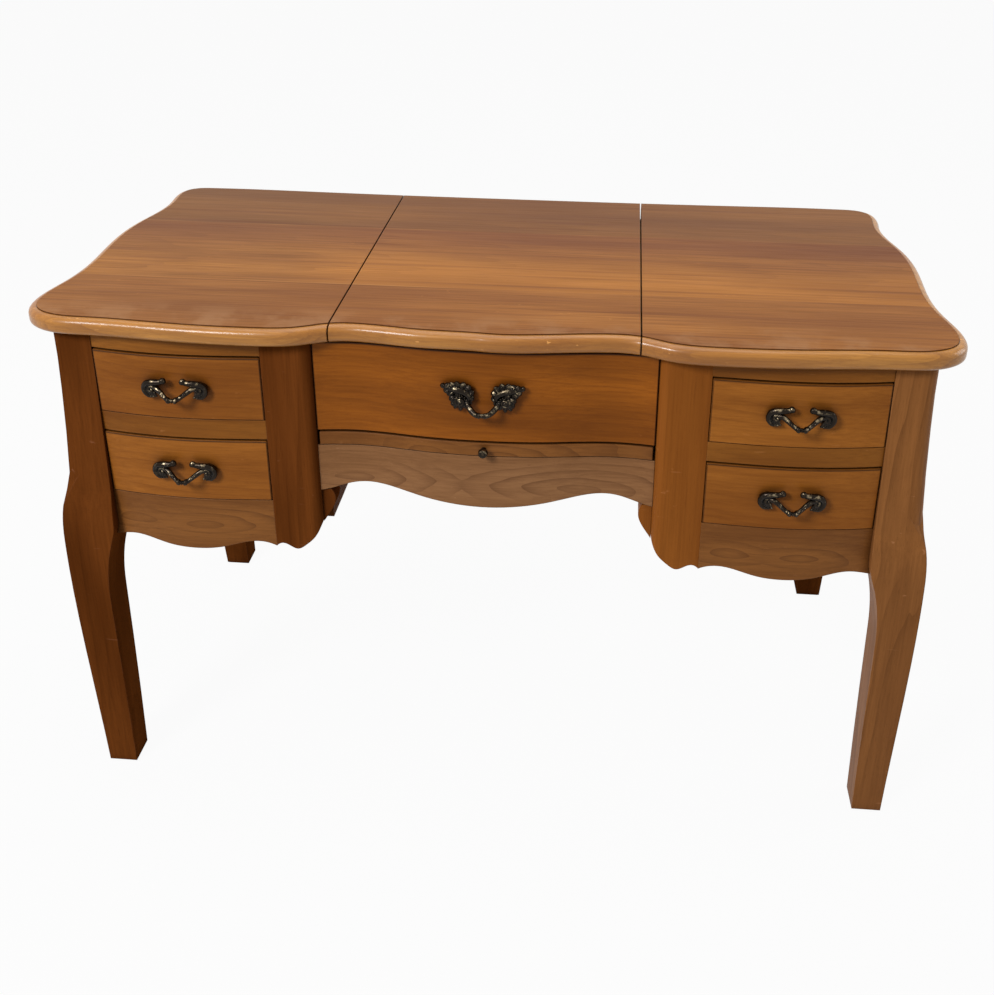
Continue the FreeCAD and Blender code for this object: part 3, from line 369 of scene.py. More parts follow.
@dataclass(frozen=True)
class Timber:
    """Tones, figure and polish of one kind of board."""

    light: Colour
    mid: Colour
    dark: Colour
    ring_spacing: float = 0.0065
    waviness: float = 0.03
    pith: float = 0.07
    figure: float = 0.55
    fibre: float = 0.35
    scuffs: float = 0.35
    roughness: float = 0.42
    specular: float = 0.13
    coat: float = 0.0
    wear: float = 0.4
    loops: float = 0.0
    gap_shade_share: float = 0.0
    # share of painted shade in the board's recesses
    shade_in_recesses: float = 0.65

    def shade(self, sheet: NodeSheet, effects: Effects, place: Socket,
              across: Socket) -> Sockets:
        """Draw the board's look, with its recesses darkened as painted shade.

        Args:
            sheet: Sheet of the material.
            effects: Shared node groups.
            place: Position along and over the fibres.
            across: Position in the table's own axes.

        Returns:
            The colour, the roughness, the height and the softened normal of the surface.
        """
        grain = sheet.group(effects.figure, {
            "Vector": place, "Ring Vector": self._rings(sheet, place), "Pith": self.pith,
            "Ring Spacing": self.ring_spacing, "Waviness": self.waviness,
        })
        scuffed = sheet.group(effects.scuffs, {"Vector": across, "Amount": self.scuffs})["Mask"]
        corner = sheet.group(effects.arrises, {"Vector": across, "Radius": ARRIS_RADIUS})
        pale = tuple(min(1.0, 1.5 * value + 0.05) for value in self.light[:3]) + (1.0,)
        colour = sheet.tint(grain["Drift"], self.mid, self.light)
        for word, share in (("Figure", self.figure), ("Fibre", self.fibre), ("Pores", PORE_SHARE)):
            colour = sheet.stain(colour, grain[word], Stain(self.dark, share))
        colour = sheet.stain(colour, corner["Mask"], Stain(pale, self.wear))
        colour = sheet.tint(scuffed, colour, pale)
        # painted shade: darken the recesses towards the shade tone
        if self.shade_in_recesses:
            colour = sheet.stain(colour, corner["Recess"], Stain(RECESS_SHADE_TONE, self.shade_in_recesses))
        rough = sheet.math("MULTIPLY_ADD", grain["Fibre"], FIBRE_ROUGHNESS, self.roughness)
        rough = sheet.math("MULTIPLY_ADD", scuffed, SCUFF_ROUGHNESS, rough, clamp=True)
        height = sheet.times(grain["Fibre"], FIBRE_HEIGHT)
        height = sheet.math("MULTIPLY_ADD", grain["Figure"], FIGURE_HEIGHT, height)
        return {"colour": colour, "rough": rough, "height": height, "normal": corner["Normal"]}

    def _rings(self, sheet: NodeSheet, place: Socket) -> Socket:
        """Lay the growth rings along the log, or in two long loops where the board is cut flat."""
        if not self.loops:
            return place
        axes = sheet.axes(place)
        apart = sheet.math("ABSOLUTE", sheet.math("ADD", axes[0], LOOP_MIDDLE))
        apart = sheet.times(sheet.math("SUBTRACT", apart, self.loops), LOOP_STRETCH)
        return sheet.node("ShaderNodeCombineXYZ", {0: axes[1], 1: apart, 2: axes[2]}).outputs[0]


CHERRY_TOP = Timber(
    srgb(184, 120, 54), srgb(138, 84, 36), srgb(94, 53, 22), ring_spacing=0.009, waviness=0.02,
    pith=0.12, figure=0.3, fibre=0.44, scuffs=0.25, roughness=0.38, specular=0.08, wear=0.0,
    shade_in_recesses=0.0)
CHERRY_EDGE = Timber(
    srgb(204, 142, 62), srgb(164, 101, 34), srgb(112, 62, 20), ring_spacing=0.008, waviness=0.06,
    figure=0.4, fibre=0.36, scuffs=0.9, roughness=0.34, specular=0.2, coat=0.5, wear=0.25, shade_in_recesses=0.5)
CHERRY_FRONT = Timber(
    srgb(176, 108, 38), srgb(136, 77, 21), srgb(106, 55, 13), ring_spacing=0.012, waviness=0.035,
    pith=0.05, figure=0.34, fibre=0.34, scuffs=0.14, wear=0.1, gap_shade_share=0.85)
CHERRY_CENTRE = replace(
    CHERRY_FRONT, light=srgb(174, 99, 24), mid=srgb(128, 69, 12), dark=srgb(98, 48, 8))
CHERRY_RAIL = Timber(
    srgb(158, 98, 33), srgb(120, 68, 17), srgb(96, 52, 13), ring_spacing=0.012, pith=0.06,
    figure=0.16, fibre=0.32, scuffs=0.3)
CHERRY_POST = Timber(
    srgb(160, 94, 35), srgb(139, 78, 26), srgb(100, 53, 16), ring_spacing=0.02, waviness=0.045,
    pith=0.08, figure=0.12, fibre=0.26, scuffs=0.34, specular=0.05)
CHERRY_LEG = Timber(
    srgb(160, 104, 56), srgb(132, 83, 43), srgb(82, 47, 22), ring_spacing=0.016, waviness=0.06,
    pith=0.02, figure=0.42, fibre=0.24, scuffs=0.45, specular=0.05)
# darker copy of the posts' cherry: painted shade for the left and back legs and posts
CHERRY_POST_IN_SHADE = Timber(
    srgb(122, 67, 27), srgb(86, 43, 14), srgb(58, 28, 9), ring_spacing=0.018, waviness=0.05,
    pith=0.05, figure=0.3, fibre=0.26, scuffs=0.4, roughness=0.55, specular=0.0)
CHERRY_APRON = Timber(
    srgb(150, 95, 43), srgb(112, 65, 22), srgb(78, 41, 13), ring_spacing=0.011, waviness=0.025,
    pith=0.004, figure=0.55, fibre=0.3, scuffs=0.4, specular=0.16, loops=0.05)
# darker, duller cherry for the partitions: painted shade where they show in narrow gaps
CHERRY_SHADE = Timber(
    srgb(112, 64, 22), srgb(95, 51, 15), srgb(70, 36, 10), figure=0.2, fibre=0.3, scuffs=0.1,
    roughness=0.6, specular=0.04)
# paler, greyer copy of the apron's cherry for the centre apron
PALE_APRON = replace(
    CHERRY_APRON, light=srgb(160, 113, 72), mid=srgb(138, 93, 54), dark=srgb(92, 54, 28),
    pith=0.01, figure=0.65, fibre=0.32, scuffs=0.5, loops=0.15)
INNER_WOOD = Timber(
    srgb(206, 172, 124), srgb(190, 152, 104), srgb(150, 112, 72), ring_spacing=0.011, figure=0.35,
    fibre=0.3, scuffs=0.15, roughness=0.62, specular=0.25, shade_in_recesses=0.0)


class Finishes:
    """Makes the materials and puts them on the frame's pieces."""

    BOARD_STEP = 0.61
    COAT_ROUGHNESS = 0.19
    WORN_ROUGHNESS = 0.18
    GRAIN_BUMP = (0.12, 0.0004)
    PIT_BUMP = (0.12, 0.0003)
    BRUSH_BUMP = (0.15, 0.0002)
    # painted shade along the drawers' gaps: its tone, and where it reaches
    GAP_SHADE_TONE = srgb(34, 18, 8)
    GAP_FACE = (0.5, 0.8)
    GAP_BELOW = (0.0010, 0.0032)
    GAP_BESIDE = (0.0004, 0.0020)
    TOP_ORIGIN = (0.0, 0.035, -0.74)
    STEP_LEVEL = 0.7377
    STEP_SLOPE = (0.3, 0.7)
    JOINTS = (0.107, -0.117)
    JOINT_LINE = (0.0003, 0.0022)
    BOARD_SLIDE = 2.37
    HEART_START = (-0.04, 0.095)
    HONEY_END = (-0.07, 0.03)
    # painted shade on the left flap: how much honey tone it takes away, and where it fades out
    HONEY_LOSS = -1.3
    LEFT_SHADE_SPAN = (-0.36, -0.16)
    WORN_END = (-0.25, -0.185)
    STREAKS = Cloud((1.3, 95.0, 95.0), 3.0, 0.6, (0.5, 0.72))
    GLUE_PLACES = Cloud((5.0, 2.0, 2.0), 2.0, band=(0.35, 0.65))
    WORN_PLACES = Cloud((16.0, 16.0, 16.0), 4.0, 0.6, (0.42, 0.66))
    HANDLED_PLACES = Cloud((150.0, 150.0, 150.0), 3.0, 0.6, (0.5, 0.64))
    CAST_PITS = Cloud((900.0, 900.0, 900.0), 2.0)
    TARNISH = Cloud((120.0, 120.0, 120.0), 4.0, 0.6, (0.35, 0.7))
    BRUSHING = Cloud((40.0, 900.0, 900.0), 2.0)
    SPECKS = Cloud((240.0, 240.0, 240.0), 3.0, 0.7, (0.64, 0.74))
    FOXED_PLACES = Cloud((7.0, 7.0, 7.0), 2.0, band=(0.5, 0.7))
    # direction and band of the faces paled by rubbing and by the painted highlight
    RUB_AND_HIGHLIGHT_TOWARDS = (0.1, -0.72, 0.68)
    RUB_AND_HIGHLIGHT_FACING = (0.6, 0.95)
    RUBBED_RELIEF = (0.46, 0.52)
    RAISED_RELIEF = (0.47, 0.54)
    HEART = Stain(srgb(110, 60, 33), 0.62)
    BACK = Stain(srgb(102, 64, 35), 0.6)
    # painted shade over the left flap
    LEFT_FLAP_SHADE = Stain(srgb(104, 76, 40), 0.12)
    HONEY = Stain(srgb(190, 122, 50), 0.36)
    NEAR = Stain(srgb(136, 80, 40), 0.16)
    STREAKED = Stain(srgb(104, 56, 26), 0.5)
    GLUE_LINE = Stain(srgb(190, 134, 72), 0.5)
    BLEACHED = Stain(srgb(168, 126, 92), 0.5)
    STEP = Stain(srgb(66, 36, 20), 0.8)
    POLISH_AND_HIGHLIGHT = Stain(srgb(176, 158, 126), 0.6)

    def __init__(self, nodes: dict[str, Thing], slots: dict[str, str]) -> None:
        """Remember the frame's pieces and their slots, and build the shared groups."""
        self.nodes = nodes
        self.slots = slots
        self.effects = Effects()

    def _start(self, name: str) -> tuple[Material, NodeSheet, Node]:
        """Open a material with its coordinates.

        Args:
            name: Name of the material.

        Returns:
            The material, its sheet and the coordinate node.
        """
        material = bpy.data.materials.new(name)
        material.use_nodes = True
        sheet = NodeSheet(material.node_tree)
        return material, sheet, sheet.node("ShaderNodeTexCoord")

    @staticmethod
    def _close(sheet: NodeSheet, values: dict[str, object]) -> None:
        """End a material with its shader."""
        shader = sheet.node("ShaderNodeBsdfPrincipled", values)
        sheet.node("ShaderNodeOutputMaterial", {"Surface": shader})

    def timber(self, name: str, tone: Timber, grain: Grain, centre: Vector, shift: float,
               box: Box | None = None) -> Material:
        """Make the material of one board.

        Args:
            name: Name of the material.
            tone: Kind of board.
            grain: Direction of its fibres.
            centre: Point that the figure is centred on.
            shift: Slides the board along its log, so that no two look alike.
            box: Lowest and highest corner of a drawer's front.

        Returns:
            The material.
        """
        material, sheet, where = self._start(name)
        turn = Euler(grain.value)
        along = 0.0 if tone.loops else shift
        start = Vector((along, 0.013 * math.sin(7 * shift), 0.006 * math.cos(5 * shift)))
        start -= turn.to_matrix() @ centre
        place = sheet.node("ShaderNodeMapping", {
            "Vector": where.outputs["Object"], "Location": start, "Rotation": turn,
        })
        look = tone.shade(sheet, self.effects, place.outputs[0], where.outputs["Object"])
        # painted shade along the gaps of a drawer's front
        if box and tone.gap_shade_share:
            look["colour"] = self._paint_gap_shade(sheet, where, look["colour"], box, tone.gap_shade_share)
        self._finish(sheet, tone, look)
        return material

    def _paint_gap_shade(self, sheet: NodeSheet, where: Node, colour: Socket, box: Box,
                    amount: float) -> Socket:
        """Darken the face of a drawer's front along its gaps as painted shade.

        Args:
            sheet: Sheet of the material.
            where: Coordinate node of the material.
            colour: Colour of the front without the painted shade.
            box: Lowest and highest corner of the front.
            amount: Share of the painted shade's tone.

        Returns:
            The darkened colour.
        """
        low, high = box
        across, _, up = sheet.axes(where.outputs["Object"])
        outward = sheet.axes(where.outputs["Normal"])[1]
        face = sheet.ease(sheet.times(outward, -1.0), *self.GAP_FACE)
        below = sheet.math("SUBTRACT", high.z, up)
        off = sheet.math("ABSOLUTE", sheet.math("SUBTRACT", across, (low.x + high.x) / 2))
        beside = sheet.math("SUBTRACT", (high.x - low.x) / 2, off)
        away_from_gaps = sheet.math("MINIMUM", sheet.ease(below, *self.GAP_BELOW),
                           sheet.ease(beside, *self.GAP_BESIDE))
        gap_shade_mask = sheet.times(sheet.rest(away_from_gaps), face)
        return sheet.stain(colour, gap_shade_mask, Stain(self.GAP_SHADE_TONE, amount))

    def _finish(self, sheet: NodeSheet, tone: Timber, look: Sockets) -> None:
        """Feed a board's look to its shader."""
        normal = sheet.bump(*self.GRAIN_BUMP, look["height"], Normal=look["normal"])
        self._close(sheet, {
            "Base Color": look["colour"], "Roughness": look["rough"], "Normal": normal,
            "Specular IOR Level": tone.specular, "Coat Weight": tone.coat,
            "Coat Roughness": self.COAT_ROUGHNESS,
        })

    def top_field(self, name: str) -> Material:
        """Make the field of the top: three glued boards, a dark step round it and a worn front."""
        material, sheet, where = self._start(name)
        place = where.outputs["Object"]
        across, deep, up = sheet.axes(place)
        back, front = (sheet.math("GREATER_THAN", deep, joint) for joint in self.JOINTS)
        slide = sheet.times(sheet.math("ADD", back, front), self.BOARD_SLIDE)
        slide = sheet.node("ShaderNodeCombineXYZ", {0: slide})
        moved = sheet.vector("ADD", sheet.vector("ADD", place, slide), self.TOP_ORIGIN)
        look = CHERRY_TOP.shade(sheet, self.effects, moved, place)
        # each board has tones of its own from the back edge to the front, and the left flap is
        # darkened as painted shade, with less of the honey tone there
        heart = sheet.times(sheet.ease(deep, *self.HEART_START), sheet.rest(back))
        shade_on_left = sheet.rest(sheet.ease(across, *self.LEFT_SHADE_SPAN))
        honey = sheet.math("SUBTRACT", front, sheet.ease(deep, *self.HONEY_END))
        honey = sheet.times(honey, sheet.math("MULTIPLY_ADD", shade_on_left, self.HONEY_LOSS, 1.0))
        colour = look["colour"]
        for mask, stain in ((heart, self.HEART), (back, self.BACK), (shade_on_left, self.LEFT_FLAP_SHADE),
                            (honey, self.HONEY), (sheet.rest(front), self.NEAR),
                            (sheet.cloud(moved, self.STREAKS), self.STREAKED)):
            colour = sheet.stain(colour, mask, stain)
        patchy = sheet.cloud(place, self.GLUE_PLACES)
        for joint in self.JOINTS:
            far = sheet.math("ABSOLUTE", sheet.math("SUBTRACT", deep, joint))
            line = sheet.rest(sheet.ease(far, *self.JOINT_LINE))
            colour = sheet.stain(colour, sheet.times(line, patchy), self.GLUE_LINE)
        worn = sheet.rest(sheet.ease(deep, *self.WORN_END))
        worn = sheet.times(worn, sheet.cloud(place, self.WORN_PLACES))
        colour = sheet.stain(colour, worn, self.BLEACHED)
        level = sheet.math("ABSOLUTE", sheet.axes(where.outputs["Normal"])[2])
        step = sheet.times(sheet.rest(sheet.ease(level, *self.STEP_SLOPE)),
                           sheet.math("GREATER_THAN", up, self.STEP_LEVEL))
        look["colour"] = sheet.stain(colour, step, self.STEP)
        look["rough"] = sheet.math("MULTIPLY_ADD", worn, self.WORN_ROUGHNESS, look["rough"])
        self._finish(sheet, CHERRY_TOP, look)
        return material

    def bronze(self, name: str) -> Material:
        """Make the dark bronze of the castings, pale on raised parts facing up and to the front:
        partly rubbed by hands, partly a painted highlight.
        """
        material, sheet, where = self._start(name)
        place = where.outputs["Object"]
        relief = sheet.node("ShaderNodeNewGeometry").outputs["Pointiness"]
        facing = sheet.dot(where.outputs["Normal"], self.RUB_AND_HIGHLIGHT_TOWARDS)
        cloud = sheet.noise(place, self.HANDLED_PLACES)
        # raised parts facing up and to the front turn pale: partly rubbed by hands, partly a painted
        # highlight
        rubbed = sheet.times(sheet.ease(facing, *self.RUB_AND_HIGHLIGHT_FACING),
                             sheet.ease(cloud, *self.HANDLED_PLACES.band))
        rubbed = sheet.times(rubbed, sheet.ease(relief, *self.RUBBED_RELIEF))
        raised = sheet.ease(relief, *self.RAISED_RELIEF)
        colour = sheet.tint(raised, srgb(12, 9, 7), srgb(42, 33, 24))
        self._close(sheet, {
            "Base Color": sheet.stain(colour, rubbed, self.POLISH_AND_HIGHLIGHT),
            "Roughness": sheet.math("MULTIPLY_ADD", cloud, 0.2, 0.15),
            "Metallic": sheet.math("MULTIPLY_ADD", rubbed, 0.15, 0.82),
            "Normal": sheet.bump(*self.PIT_BUMP, sheet.noise(place, self.CAST_PITS)),
        })
        return material

    def brass(self, name: str) -> Material:
        """Make the tarnished brass of the hinges."""
        material, sheet, where = self._start(name)
        place = where.outputs["Object"]
        tarnish = sheet.cloud(place, self.TARNISH)
        brushed = sheet.noise(place, self.BRUSHING)
        self._close(sheet, {
            "Base Color": sheet.tint(tarnish, srgb(176, 140, 72), srgb(120, 90, 48)),
            "Roughness": sheet.math("MULTIPLY_ADD", brushed, 0.25, 0.22),
            "Metallic": 1.0,
            "Normal": sheet.bump(*self.BRUSH_BUMP, brushed),
        })
        return material

    def silvering(self, name: str) -> Material:
        """Make the mirror's silver, foxed in patches."""
        material, sheet, where = self._start(name)
        place = where.outputs["Object"]
        aged = sheet.times(sheet.cloud(place, self.SPECKS), sheet.cloud(place, self.FOXED_PLACES))
        self._close(sheet, {
            "Base Color": sheet.tint(aged, srgb(232, 236, 236), srgb(128, 118, 104)),
            "Roughness": sheet.math("MULTIPLY_ADD", aged, 0.3, 0.025),
            "Metallic": 1.0,
        })
        return material

    def put(self, name: str, material: Material) -> None:
        """Give a piece of the frame a finish."""
        piece = self.nodes[name]
        piece.data.materials.clear()
        piece.data.materials.append(material)
        LOG.info("finish %s on %s", material.name, name)

    def board(self, name: str, tone: Timber, grain: Grain, number: int) -> None:
        """Finish one piece of the frame as a board of its own."""
        low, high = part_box(name)
        title = f"{self.slots[name]}_{name}"
        shift = self.BOARD_STEP * number
        self.put(name, self.timber(title, tone, grain, (low + high) / 2, shift, (low, high)))


@dataclass
class FlapTop:
    """Top in three flaps, with its moulded edges, hinges and mirror."""

    finishes: Finishes
    flaps: tuple[str, ...] = ("left", "centre", "right")
    edge_middle: Triple = (0.0, 0.0, 0.728)
    edge_shift: float = 0.3
    frame_board: int = 40

    def dress(self) -> None:
        """Finish the flaps so that the boards run on from one to the next."""
        field = self.finishes.top_field("cherry_top_field")
        edge = self.finishes.timber("cherry_edge_moulding", CHERRY_EDGE, Grain.ALONG_X,
                                    Vector(self.edge_middle), self.edge_shift)
        brass = self.finishes.brass("hinge_brass_leaves")
        for flap in self.flaps:
            self.finishes.put(f"flap_{flap}_panel", field)
            self.finishes.put(f"flap_{flap}_edge", edge)
            self.finishes.put(f"flap_{flap}_hinges", brass)
        for name in ("hinge_case_leaves", "hinge_case_screws", "hinge_pins"):
            self.finishes.put(name, brass)
        self.finishes.put("mirror_glass", self.finishes.silvering("mirror_silver"))
        self.finishes.board("mirror_frame", CHERRY_RAIL, Grain.ALONG_X, self.frame_board)


Run = tuple[Timber, Grain, tuple[str, ...]]


@dataclass
class CaseWork:
    """Legs, posts, rails, aprons, panels and inner boards of the case."""

    finishes: Finishes
    runs: tuple[Run, ...] = (
        (CHERRY_LEG, Grain.ALONG_Z, ("leg_front_right",)),
        (CHERRY_POST, Grain.ALONG_Z, ("inner_post_right", "bracket_right")),
        # the left and back legs and posts take the painted-shade copy of the cherry
        (CHERRY_POST_IN_SHADE, Grain.ALONG_Z, ("leg_front_left", "leg_back_left", "leg_back_right",
                                           "inner_post_left", "bracket_left")),
        (CHERRY_RAIL, Grain.ALONG_X, ("top_rail_left", "top_rail_right", "middle_rail_left",
                                      "middle_rail_right")),
        (CHERRY_APRON, Grain.ALONG_X, ("apron_left", "apron_right", "back_boards")),
        (PALE_APRON, Grain.ALONG_X, ("apron_centre",)),
        (CHERRY_RAIL, Grain.ALONG_Y, ("side_panel_left", "side_panel_right")),
        (CHERRY_SHADE, Grain.ALONG_Y, ("partition_left", "partition_right")),
        (INNER_WOOD, Grain.ALONG_X, ("well_floors", "well_fronts", "dust_boards_left",
                                     "dust_boards_right")),
        (INNER_WOOD, Grain.ALONG_Y, ("well_dividers", "drawer_guides", "centre_runners")),
    )

    def dress(self) -> None:
        """Finish each board with its own stretch of timber."""
        boards = [(name, tone, grain) for tone, grain, names in self.runs for name in names]
        for number, (name, tone, grain) in enumerate(boards, start=1):
            self.finishes.board(name, tone, grain, number)


@dataclass
class Drawers:
    """Five drawers and the writing slide."""

    finishes: Finishes
    names: tuple[str, ...] = ("upper_left", "upper_right", "lower_left", "lower_right", "centre")
    first_board: int = 60
    lip_board: int = 70
    slide_board: int = 71

    def dress(self) -> None:
        """Finish the fronts in cherry, the boxes in pale wood and the slide's knob in bronze."""
        for number, name in enumerate(self.names, start=self.first_board):
            tone = CHERRY_CENTRE if name == "centre" else CHERRY_FRONT
            self.finishes.board(f"drawer_{name}_front", tone, Grain.ALONG_X, number)
            self.finishes.board(f"drawer_{name}_box", INNER_WOOD, Grain.ALONG_Y, number)
        self.finishes.board("slide_lip", CHERRY_APRON, Grain.ALONG_X, self.lip_board)
        self.finishes.board("slide_board", INNER_WOOD, Grain.ALONG_X, self.slide_board)
        self.finishes.put("slide_knob", self.finishes.bronze("aged_bronze_knob"))


Strand = tuple[tuple[float, float, float, float], ...]


class PullKind(Enum):
    """The two patterns of the castings."""

    SIDE = "side"
    CENTRE = "centre"


class Ornament:
    """Geometry Nodes trees for what repeats on the castings."""

    GEOMETRY = "NodeSocketGeometry"
    COUNT = "NodeSocketInt"
    NUMBER = "NodeSocketFloat"
    METAL = "NodeSocketMaterial"
    RIB_SEGMENTS = 12
    RIB_RINGS = 8
    RIB_HALF = 0.5
    RIB_MIDDLE = 0.55
    BEAD_SUBDIVISIONS = 2

    def __init__(self) -> None:
        """Build each tree once."""
        self.ribs = self._ribs()
        self.beads = self._beads()

    def _start(self, name: str, inputs: dict[str, str]) -> tuple[NodeSheet, Sockets, Sockets]:
        """Open a tree that takes and gives geometry, with more named inputs."""
        shape = {"Geometry": self.GEOMETRY}
        return new_group(name, shape | inputs, shape, "GeometryNodeTree")

    @staticmethod
    def _close(sheet: NodeSheet, made: Sockets, instances: Node, metal: Socket) -> Tree:
        """Make the instances real, give them their metal and end the tree."""
        real = sheet.node("GeometryNodeRealizeInstances", {0: instances})
        dressed = sheet.node("GeometryNodeSetMaterial", {"Geometry": real, "Material": metal})
        sheet.feed(made["Geometry"], dressed)
        return sheet.tree

    def _ribs(self) -> Tree:
        """Fan of ribs that spread from one point in the plane of the drawer's front."""
        sheet, given, made = self._start("fan_of_ribs", {
            "Count": self.COUNT, "First Angle": self.NUMBER, "Sweep": self.NUMBER,
            "Reach": self.NUMBER, "Thickness": self.NUMBER, "Metal": self.METAL,
        })
        count, reach, thick = given["Count"], given["Reach"], given["Thickness"]
        points = sheet.node("GeometryNodeMeshLine", {"Count": count, "Offset": (0.0, 0.0, 0.0)})
        share = sheet.math("DIVIDE", sheet.node("GeometryNodeInputIndex"),
                           sheet.math("SUBTRACT", count, 1.0))
        angle = sheet.math("MULTIPLY_ADD", given["Sweep"], share, given["First Angle"])
        turn = sheet.node("ShaderNodeCombineXYZ", {1: angle})
        ball = sheet.node("GeometryNodeMeshUVSphere", {
            "Segments": self.RIB_SEGMENTS, "Rings": self.RIB_RINGS, "Radius": 1.0,
        })
        half = sheet.times(reach, self.RIB_HALF)
        size = sheet.node("ShaderNodeCombineXYZ", {0: half, 1: thick, 2: thick})
        middle = sheet.node("ShaderNodeCombineXYZ", {0: sheet.times(reach, self.RIB_MIDDLE)})
        rib = sheet.node("GeometryNodeTransform", {
            "Geometry": ball, "Scale": size, "Translation": middle,
        })
        fan = sheet.node("GeometryNodeInstanceOnPoints", {
            "Points": points, "Instance": rib, "Rotation": turn,
        })
        return self._close(sheet, made, fan, given["Metal"])

    def _beads(self) -> Tree:
        """Row of beads along a line of edges."""
        sheet, given, made = self._start("row_of_beads", {
            "Count": self.COUNT, "Bead Radius": self.NUMBER, "Metal": self.METAL,
        })
        line = sheet.node("GeometryNodeMeshToCurve", {"Mesh": given["Geometry"]})
        row = sheet.node("GeometryNodeResampleCurve", {"Curve": line, "Count": given["Count"]},
                         mode="COUNT")
        bead = sheet.node("GeometryNodeMeshIcoSphere", {
            "Radius": given["Bead Radius"], "Subdivisions": self.BEAD_SUBDIVISIONS,
        })
        beads = sheet.node("GeometryNodeInstanceOnPoints", {"Points": row, "Instance": bead})
        return self._close(sheet, made, beads, given["Metal"])

    @staticmethod
    def grow(tree: Tree, base: Mesh, values: dict[str, object]) -> Mesh:
        """Run a tree on a mesh.

        Args:
            tree: One of the trees.
            base: Mesh that the tree starts from.
            values: Value of each named input.

        Returns:
            The result as a plain mesh.
        """
        thing = add_object(base.name, base)
        modifier = thing.modifiers.new(tree.name, "NODES")
        modifier.node_group = tree
        for item in tree.interface.items_tree:
            if item.item_type == "SOCKET" and item.in_out == "INPUT" and item.name in values:
                modifier[item.identifier] = values[item.name]
        return take_mesh(thing)


def take_mesh(thing: Thing) -> Mesh:
    """Take the mesh that an object's modifiers make, and remove the object."""
    view = bpy.context.evaluated_depsgraph_get()
    mesh = bpy.data.meshes.new_from_object(thing.evaluated_get(view))
    bpy.data.objects.remove(thing)
    return mesh


def smooth_path(strand: Strand, steps: int) -> list[tuple[Vector, float]]:
    """Run a smooth path through the knots of a strand.

    Args:
        strand: Knots as distance across, height, distance out and radius, in millimetres.
        steps: Points between two knots.

    Returns:
        Points in metres with their radius.
    """
    knots = [Vector((across, -out, up, radius)) * MM for across, up, out, radius in strand]
    knots = [2 * knots[0] - knots[1]] + knots + [2 * knots[-1] - knots[-2]]
    path = []
    for a, b, c, d in zip(knots, knots[1:], knots[2:], knots[3:]):
        for step in range(steps):
            t = step / steps
            path.append(0.5 * (2 * b + (c - a) * t + (2 * a - 5 * b + 4 * c - d) * t ** 2
                               + (3 * b - a - 3 * c + d) * t ** 3))
    path.append(knots[-2])
    return [(point.to_3d(), point.w) for point in path]


